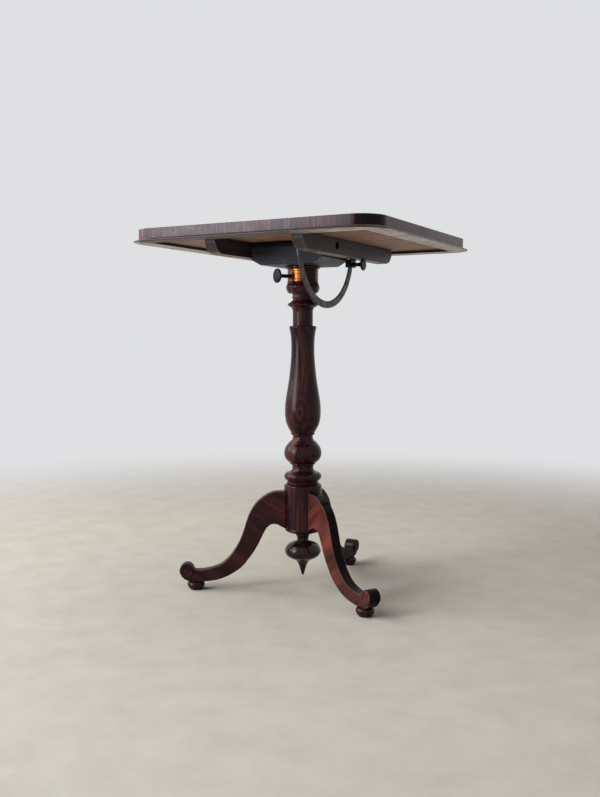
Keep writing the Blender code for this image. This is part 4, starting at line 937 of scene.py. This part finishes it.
def rosewood(
    name, shades, turn=(0, 0, 0), heart=(0.05, -0.03), rings=150.0,
    shine=(0.11, 0.21), specular=0.17, eyes=(),
):
    """Polished rosewood with its grain along Z once turned: soft dark streaks in growth rings round a
    heart that lies beside the piece, fine pores, warm patches, and ovals round any eyes of the figure."""
    dark, middle, light = shades
    look = Look(name, specular=specular)
    place = look.scaled(look.place, (1, 1, 1), turn)
    bent = look.vector("ADD", place, look.drift(place, (9, 9, 3.2), 2.0, (0.05, 0.05, 0)))
    flat = look.vector("MULTIPLY", bent, (1, 1, 0))
    reach = look.vector("DISTANCE", flat, (*heart, 0), out=1)
    height = look.math("MULTIPLY", look.add("SeparateXYZ", place, out=2), 5.0)
    spread = look.add("CombineXYZ", look.math("MULTIPLY", reach, rings), height, 0.0)
    streak = look.noise(spread, 1.0, 4.0, 0.55)
    if eyes:
        streak = with_eyes(look, streak, place, eyes)
    figure = look.ramp(streak, (0.32, dark), (0.5, middle), (0.7, light))
    patch = look.noise(place, (24, 24, 8), 3.0, 0.55)
    shade = look.ramp(patch, (0.32, 0.5), (0.5, 0.9), (0.7, (1.7, 1.35, 1.1)))
    colour = look.mix(1.0, figure, shade, "MULTIPLY")
    pores = look.noise(place, (1400, 1400, 60), 2.0, 0.6)
    dashes = look.ramp(pores, (0.36, 0.45), (0.5, 1.0))
    colour = look.mix(0.5, colour, dashes, "MULTIPLY")
    smear = look.noise(look.place, 60.0, 3.0)
    roughness = look.range(smear, 0.3, 0.7, *shine)
    return look.done(colour, roughness, pores, 0.00004)


def grain_scale(along, length, width):
    """How densely a grain repeats along its own axis, and across it."""
    return tuple(length if axis == along else width for axis in "XYZ")


def crossbanding(name, shades, along="Z", specular=0.4):
    """Veneer laid across an edge: short straight grain with sharp dark lines."""
    dark, middle, light = shades
    look = Look(name, specular=specular)
    fine = look.noise(look.place, grain_scale(along, 18, 520), 3.0, 0.65)
    broad = look.noise(look.place, grain_scale(along, 6, 130), 3.0, 0.6)
    colour = look.ramp(fine, (0.34, dark), (0.5, middle), (0.64, light))
    shade = look.ramp(broad, (0.32, 0.45), (0.52, 0.9), (0.7, 1.35))
    colour = look.mix(1.0, colour, shade, "MULTIPLY")
    smear = look.noise(look.place, 45.0, 3.0)
    roughness = look.range(smear, 0.3, 0.7, 0.2, 0.34)
    return look.done(colour, roughness, fine, 0.00005)


def bare_wood(name, shades, along, spots=0.5, roughness=0.6, specular=0.3, left_factor=1.0):
    """Unpolished wood with its grain along one axis, and spotted. With a left factor below 1, it is darker
    towards -X, up to the run along X where that darkening fades out."""
    dark, middle, light = shades
    look = Look(name, roughness, specular=specular)
    grain = look.noise(look.place, grain_scale(along, 10, 260), 4.0, 0.6, 0.6)
    colour = look.ramp(grain, (0.3, dark), (0.5, middle), (0.7, light))
    soil = look.noise(look.place, 28.0, 4.0, 0.6)
    colour = look.mix(1.0, colour, look.ramp(soil, (0.3, 0.55), (0.55, 1.0)), "MULTIPLY")
    if left_factor < 1:
        side = look.add("SeparateXYZ", look.place)
        leftward_darkening = look.range(side, *DARKENING_RUN, left_factor, 1.0)
        colour = look.mix(1.0, colour, leftward_darkening, "MULTIPLY")
    blots = look.noise(look.place, 75.0, 2.0, 0.5)
    mask = look.ramp(blots, (0.0, 1.0), (0.27, 1.0), (0.31, 0.0))
    amount = look.math("MULTIPLY", mask, spots)
    colour = look.mix(amount, colour, (0.03, 0.02, 0.018))
    return look.done(colour, None, grain, 0.0001)


def ebonised(name, bare, wear):
    """Rough blackened wood, scuffed, with pale streaks where the blacking has gone."""
    look = Look(name, specular=0.3)
    grain = look.noise(look.place, (14, 90, 120), 5.0, 0.65, 1.2)
    black, grey, pale = (0.005, 0.006, 0.012), (0.020, 0.019, 0.028), (0.05, 0.046, 0.056)
    base = look.ramp(grain, (0.3, black), (0.55, grey), (0.75, pale))
    scuff = look.noise(look.scaled(look.place, (40, 70, 150), (0, 0, 25)), 1.0, 5.0, 0.7, 2.0)
    where = look.noise(look.place, 16.0, 2.0)
    scratched = look.ramp(scuff, (0.5 - wear, 0.0), (0.66 - wear / 2, 1.0))
    reached = look.ramp(where, (0.45 - wear, 0.0), (0.65 - wear, 1.0))
    colour = look.mix(look.math("MULTIPLY", scratched, reached), base, bare)
    roughness = look.range(grain, 0.3, 0.7, 0.42, 0.62)
    return look.done(colour, roughness, scuff, 0.0004)


def metal(name, bright, dull, roughness, patina_scale=60.0):
    """Worked metal: a bright and a dull finish in patches, with fine marks."""
    look = Look(name, roughness, metallic=0.9, specular=0.4)
    patch = look.noise(look.place, patina_scale, 4.0, 0.6)
    marks = look.noise(look.place, (900, 900, 220), 2.0, 0.6)
    colour = look.mix(look.ramp(patch, (0.42, 0.0), (0.6, 1.0)), dull, bright)
    rough = look.range(patch, 0.3, 0.7, roughness + 0.14, roughness - 0.08)
    return look.done(colour, rough, marks, 0.00003)


def brass_with_painted_reflection(name):
    """Brass whose colour is painted reflection and shade across the camera's view: bright towards one side,
    nearly black over the middle, and brown beyond.
    """
    look = Look(name, metallic=1.0)
    # The colour runs across the camera's view: the bright patch is a painted reflection, and the dark middle
    # and brown edge are painted shade
    across = (-sin(FRONT_TURN), cos(FRONT_TURN), 0)
    side = look.vector("DOT_PRODUCT", look.place, across, out=1)
    cloud = look.noise(look.place, (150, 150, 30), 4.0, 0.6)
    wave = look.math("MULTIPLY", look.math("SUBTRACT", cloud, 0.5), 0.004)
    reach = look.range(look.math("ADD", side, wave), -COLLAR_RADIUS, COLLAR_RADIUS, 0.0, 1.0)
    colour = look.ramp(
        reach, (0.02, (0.13, 0.048, 0.022)), (0.2, (0.32, 0.115, 0.035)), (0.36, (0.56, 0.20, 0.04)),
        (0.43, (0.26, 0.09, 0.03)), (0.50, (0.025, 0.015, 0.015)), (0.86, (0.022, 0.014, 0.016)),
        (0.93, (0.12, 0.065, 0.04)),
    )
    rough = look.range(cloud, 0.3, 0.7, 0.22, 0.42)
    return look.done(colour, rough, cloud, 0.00008)


def make_looks():
    purple = ((0.012, 0.003, 0.006), (0.052, 0.011, 0.016), (0.14, 0.034, 0.026))
    dusky = ((0.008, 0.002, 0.005), (0.036, 0.007, 0.012), (0.12, 0.030, 0.024))
    black = ((0.006, 0.003, 0.004), (0.024, 0.008, 0.009), (0.075, 0.020, 0.015))
    orange = ((0.055, 0.014, 0.014), (0.10, 0.026, 0.021), (0.15, 0.043, 0.028))
    # The left and back legs get a darker palette than the right leg: painted shade
    painted_shade_brown = ((0.022, 0.008, 0.010), (0.052, 0.015, 0.017), (0.085, 0.026, 0.024))
    # Near black: painted shade
    painted_shade_black = ((0.005, 0.002, 0.003), (0.014, 0.005, 0.006), (0.040, 0.012, 0.010))
    facing = ((0.010, 0.004, 0.007), (0.080, 0.024, 0.029), (0.17, 0.060, 0.058))
    # Painted shade for the facing's near corner
    painted_shade_facing = ((0.004, 0.002, 0.003), (0.012, 0.004, 0.006), (0.025, 0.008, 0.010))
    lip = ((0.012, 0.004, 0.006), (0.05, 0.012, 0.014), (0.09, 0.022, 0.02))
    pale = ((0.48, 0.42, 0.38), (0.68, 0.62, 0.58), (0.80, 0.76, 0.73))
    tan = ((0.17, 0.075, 0.048), (0.32, 0.16, 0.10), (0.50, 0.31, 0.21))
    straw = ((0.30, 0.19, 0.08), (0.42, 0.28, 0.13), (0.5, 0.36, 0.18))
    stain = ((0.019, 0.011, 0.015), (0.038, 0.024, 0.031), (0.07, 0.048, 0.056))
    worn = ((0.10, 0.075, 0.06), (0.22, 0.17, 0.14), (0.36, 0.29, 0.24))
    # Lighter colour for the legs' upper arrises: wear and a painted highlight
    arris = ((0.10, 0.05, 0.045), (0.17, 0.08, 0.065), (0.24, 0.12, 0.09))
    along_leg = (0, -57, 0)
    leg_shine = (0.26, 0.4)
    edge_heart = (0.05, 0.09)
    column_eyes = (
        (front(VASE_EYE_RADIUS, VASE_EYE_Z, VASE_EYE_TURN), *VASE_EYE_SHAPE),
        (front(BALL_EYE_RADIUS, VASE_FOOT - BALL_EYE_DROP), *BALL_EYE_SHAPE),
    )
    return {
        "column": rosewood("rosewood_column", dusky, shine=(0.17, 0.27), eyes=column_eyes),
        "finial": rosewood(
            "rosewood_finial", black, heart=(0.03, 0.03), shine=(0.08, 0.16), specular=0.24,
        ),
        "dark": rosewood("dark_rosewood_look", black, heart=(-0.06, 0.02)),
        "foot": rosewood("dark_rosewood_foot", black, heart=(0.28, 0.05)),
        "leg_left": rosewood("rosewood_leg_left_painted_shade", painted_shade_brown, along_leg, (0.02, 0.09), 110.0, leg_shine, 0.12),
        "leg_right": rosewood("rosewood_leg_right", orange, along_leg, (-0.06, 0.08), 190.0, leg_shine, 0.12),
        "leg_back": rosewood("rosewood_leg_back_painted_shade", painted_shade_brown, along_leg, (0.09, 0.05), 110.0, leg_shine, 0.06),
        "edge_left": rosewood("rosewood_edge_left_painted_shade", painted_shade_brown, along_leg, edge_heart, 150.0, leg_shine, 0.03),
        "edge_right": rosewood("rosewood_edge_right_painted_shade", painted_shade_black, along_leg, edge_heart, specular=0.05),
        "edge_back": rosewood("rosewood_edge_back_painted_shade", painted_shade_black, along_leg, edge_heart, specular=0.12),
        "arris": rosewood("worn_arris_painted_highlight", arris, along_leg),
        "field": rosewood("veneer_field", purple, (0, 90, 0), heart=(0.2, 0.05), rings=60.0),
        "border_x": crossbanding("veneer_border_x", purple, "Y"),
        "border_y": crossbanding("veneer_border_y", purple, "X"),
        "stringing": bare_wood("stringing", straw, "X", 0.0, 0.35),
        "underside": bare_wood("board_underside", tan, "X", 0.1),
        "facing": crossbanding("crossbanding_look", facing, specular=0.24),
        "painted_shade_facing": crossbanding("crossbanding_painted_shade_look", painted_shade_facing, specular=0.1),
        "lip": crossbanding("lip_look", lip),
        "rim_front": bare_wood("rim_darker_left", pale, "X", 0.8, left_factor=0.2),
        "rim_inside": bare_wood("rim_inside_painted_shade", painted_shade_black, "X", 0.0),
        "rim_x": bare_wood("bare_rim_x", pale, "X", 0.8),
        "rim_y": bare_wood("bare_rim_y", pale, "Y", 0.8),
        "bearer": bare_wood("stained_bearer", stain, "Y", 0.4, 0.42, 0.4),
        "worn_bearer": bare_wood("worn_bearer_edge", worn, "Y", 0.4, 0.5, 0.3),
        "block": ebonised("ebonised_look", (0.095, 0.095, 0.115), 0.02),
        "worn_block_painted_light": ebonised("worn_ebonised_painted_light_look", (0.15, 0.148, 0.14), 0.14),
        "brass": brass_with_painted_reflection("brass_look"),
        "black_iron": metal("black_iron_look", (0.020, 0.018, 0.027), (0.007, 0.006, 0.010), 0.32),
        "arc_iron": metal("arc_iron_look", (0.088, 0.076, 0.080), (0.058, 0.048, 0.052), 0.42, 90.0),
        "screw_iron": metal("screw_iron_look", (0.10, 0.09, 0.085), (0.03, 0.026, 0.025), 0.42),
    }


# Stage, light and camera

def make_floor():
    """A pale floor that fades into the background."""
    bm = bmesh.new()
    bmesh.ops.create_circle(bm, cap_ends=True, radius=FLOOR_RADIUS, segments=ROUND_STEPS)
    mesh = bpy.data.meshes.new("floor")
    bm.to_mesh(mesh)
    bm.free()
    floor = put("floor", mesh)
    look = Look("floor_look", 0.95, specular=0.0)
    grain = look.noise(look.place, 14.0, 6.0, 0.6)
    colour = look.ramp(grain, (0.3, (0.66, 0.60, 0.52)), (0.7, (0.74, 0.69, 0.61)))
    look.done(colour)
    distance = look.vector("DISTANCE", look.place, (0, 0, 0), out=1)
    fade = look.add("MapRange", distance, *FLOOR_FADE, 0.0, 1.0, interpolation_type="SMOOTHSTEP")
    clear = look.add("BsdfTransparent", (1, 1, 1, 1))
    blend = look.add("MixShader", fade, look.shader.outputs[0], clear)
    look.tree.links.new(blend, look.tree.nodes["Material Output"].inputs["Surface"])
    mesh.materials.append(look.material)


def make_world():
    """A pale background for what the camera and shiny things see, and a weaker even light."""
    world = bpy.data.worlds.new("studio")
    bpy.context.scene.world = world
    world.use_nodes = True
    tree = world.node_tree
    shine = tree.nodes["Background"].inputs
    shine["Color"].default_value = (*BACKGROUND, 1)
    ray = tree.nodes.new("ShaderNodeLightPath").outputs
    seen = ray["Is Camera Ray"]
    for kind in ("Is Glossy Ray", "Is Transmission Ray"):
        seen = add_node(tree, "Math", seen, ray[kind], operation="MAXIMUM")
    strength = add_node(tree, "MapRange", seen, 0.0, 1.0, EVEN_LIGHT, 1.0)
    tree.links.new(strength, shine["Strength"])


def make_lamp(name, azimuth, elevation, distance, size, power, colour):
    """A soft rectangular lamp that faces the stand."""
    light = bpy.data.lights.new(name, "AREA")
    light.shape = "RECTANGLE"
    light.size, light.size_y = size
    light.energy = power
    light.color = colour
    lamp = put(name, light)
    around, up = radians(azimuth), radians(elevation)
    way = Vector((cos(up) * cos(around), cos(up) * sin(around), sin(up)))
    lamp.location = Vector(LAMP_AIM) + way * distance
    lamp.rotation_euler = way.to_track_quat("Z", "Y").to_euler()


def make_camera():
    """The photograph's camera: 600 by 797, its long side up."""
    data = bpy.data.cameras.new("camera")
    data.lens = CAMERA_LENS
    data.sensor_width = CAMERA_SENSOR
    camera = put("camera", data)
    camera.location = CAMERA_PLACE
    camera.rotation_euler = (radians(CAMERA_TILT), 0, radians(CAMERA_TURN))
    bpy.context.scene.camera = camera


LOOKS = make_looks()
make_camera()
make_world()
make_floor()
for lamp_values in LAMPS:
    make_lamp(*lamp_values)
for make in (
    make_column, make_collar, make_cap_and_finial, make_legs, make_thumbscrews, make_pole_and_flange,
    make_block, make_bearers, make_arc, make_board, make_rims, make_edging,
):
    make()
dress([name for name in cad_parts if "_screw_" in name], "screw_iron")
dress(["clamp_bracket"], "black_iron")

bpy.context.scene.view_settings.view_transform = "Standard"
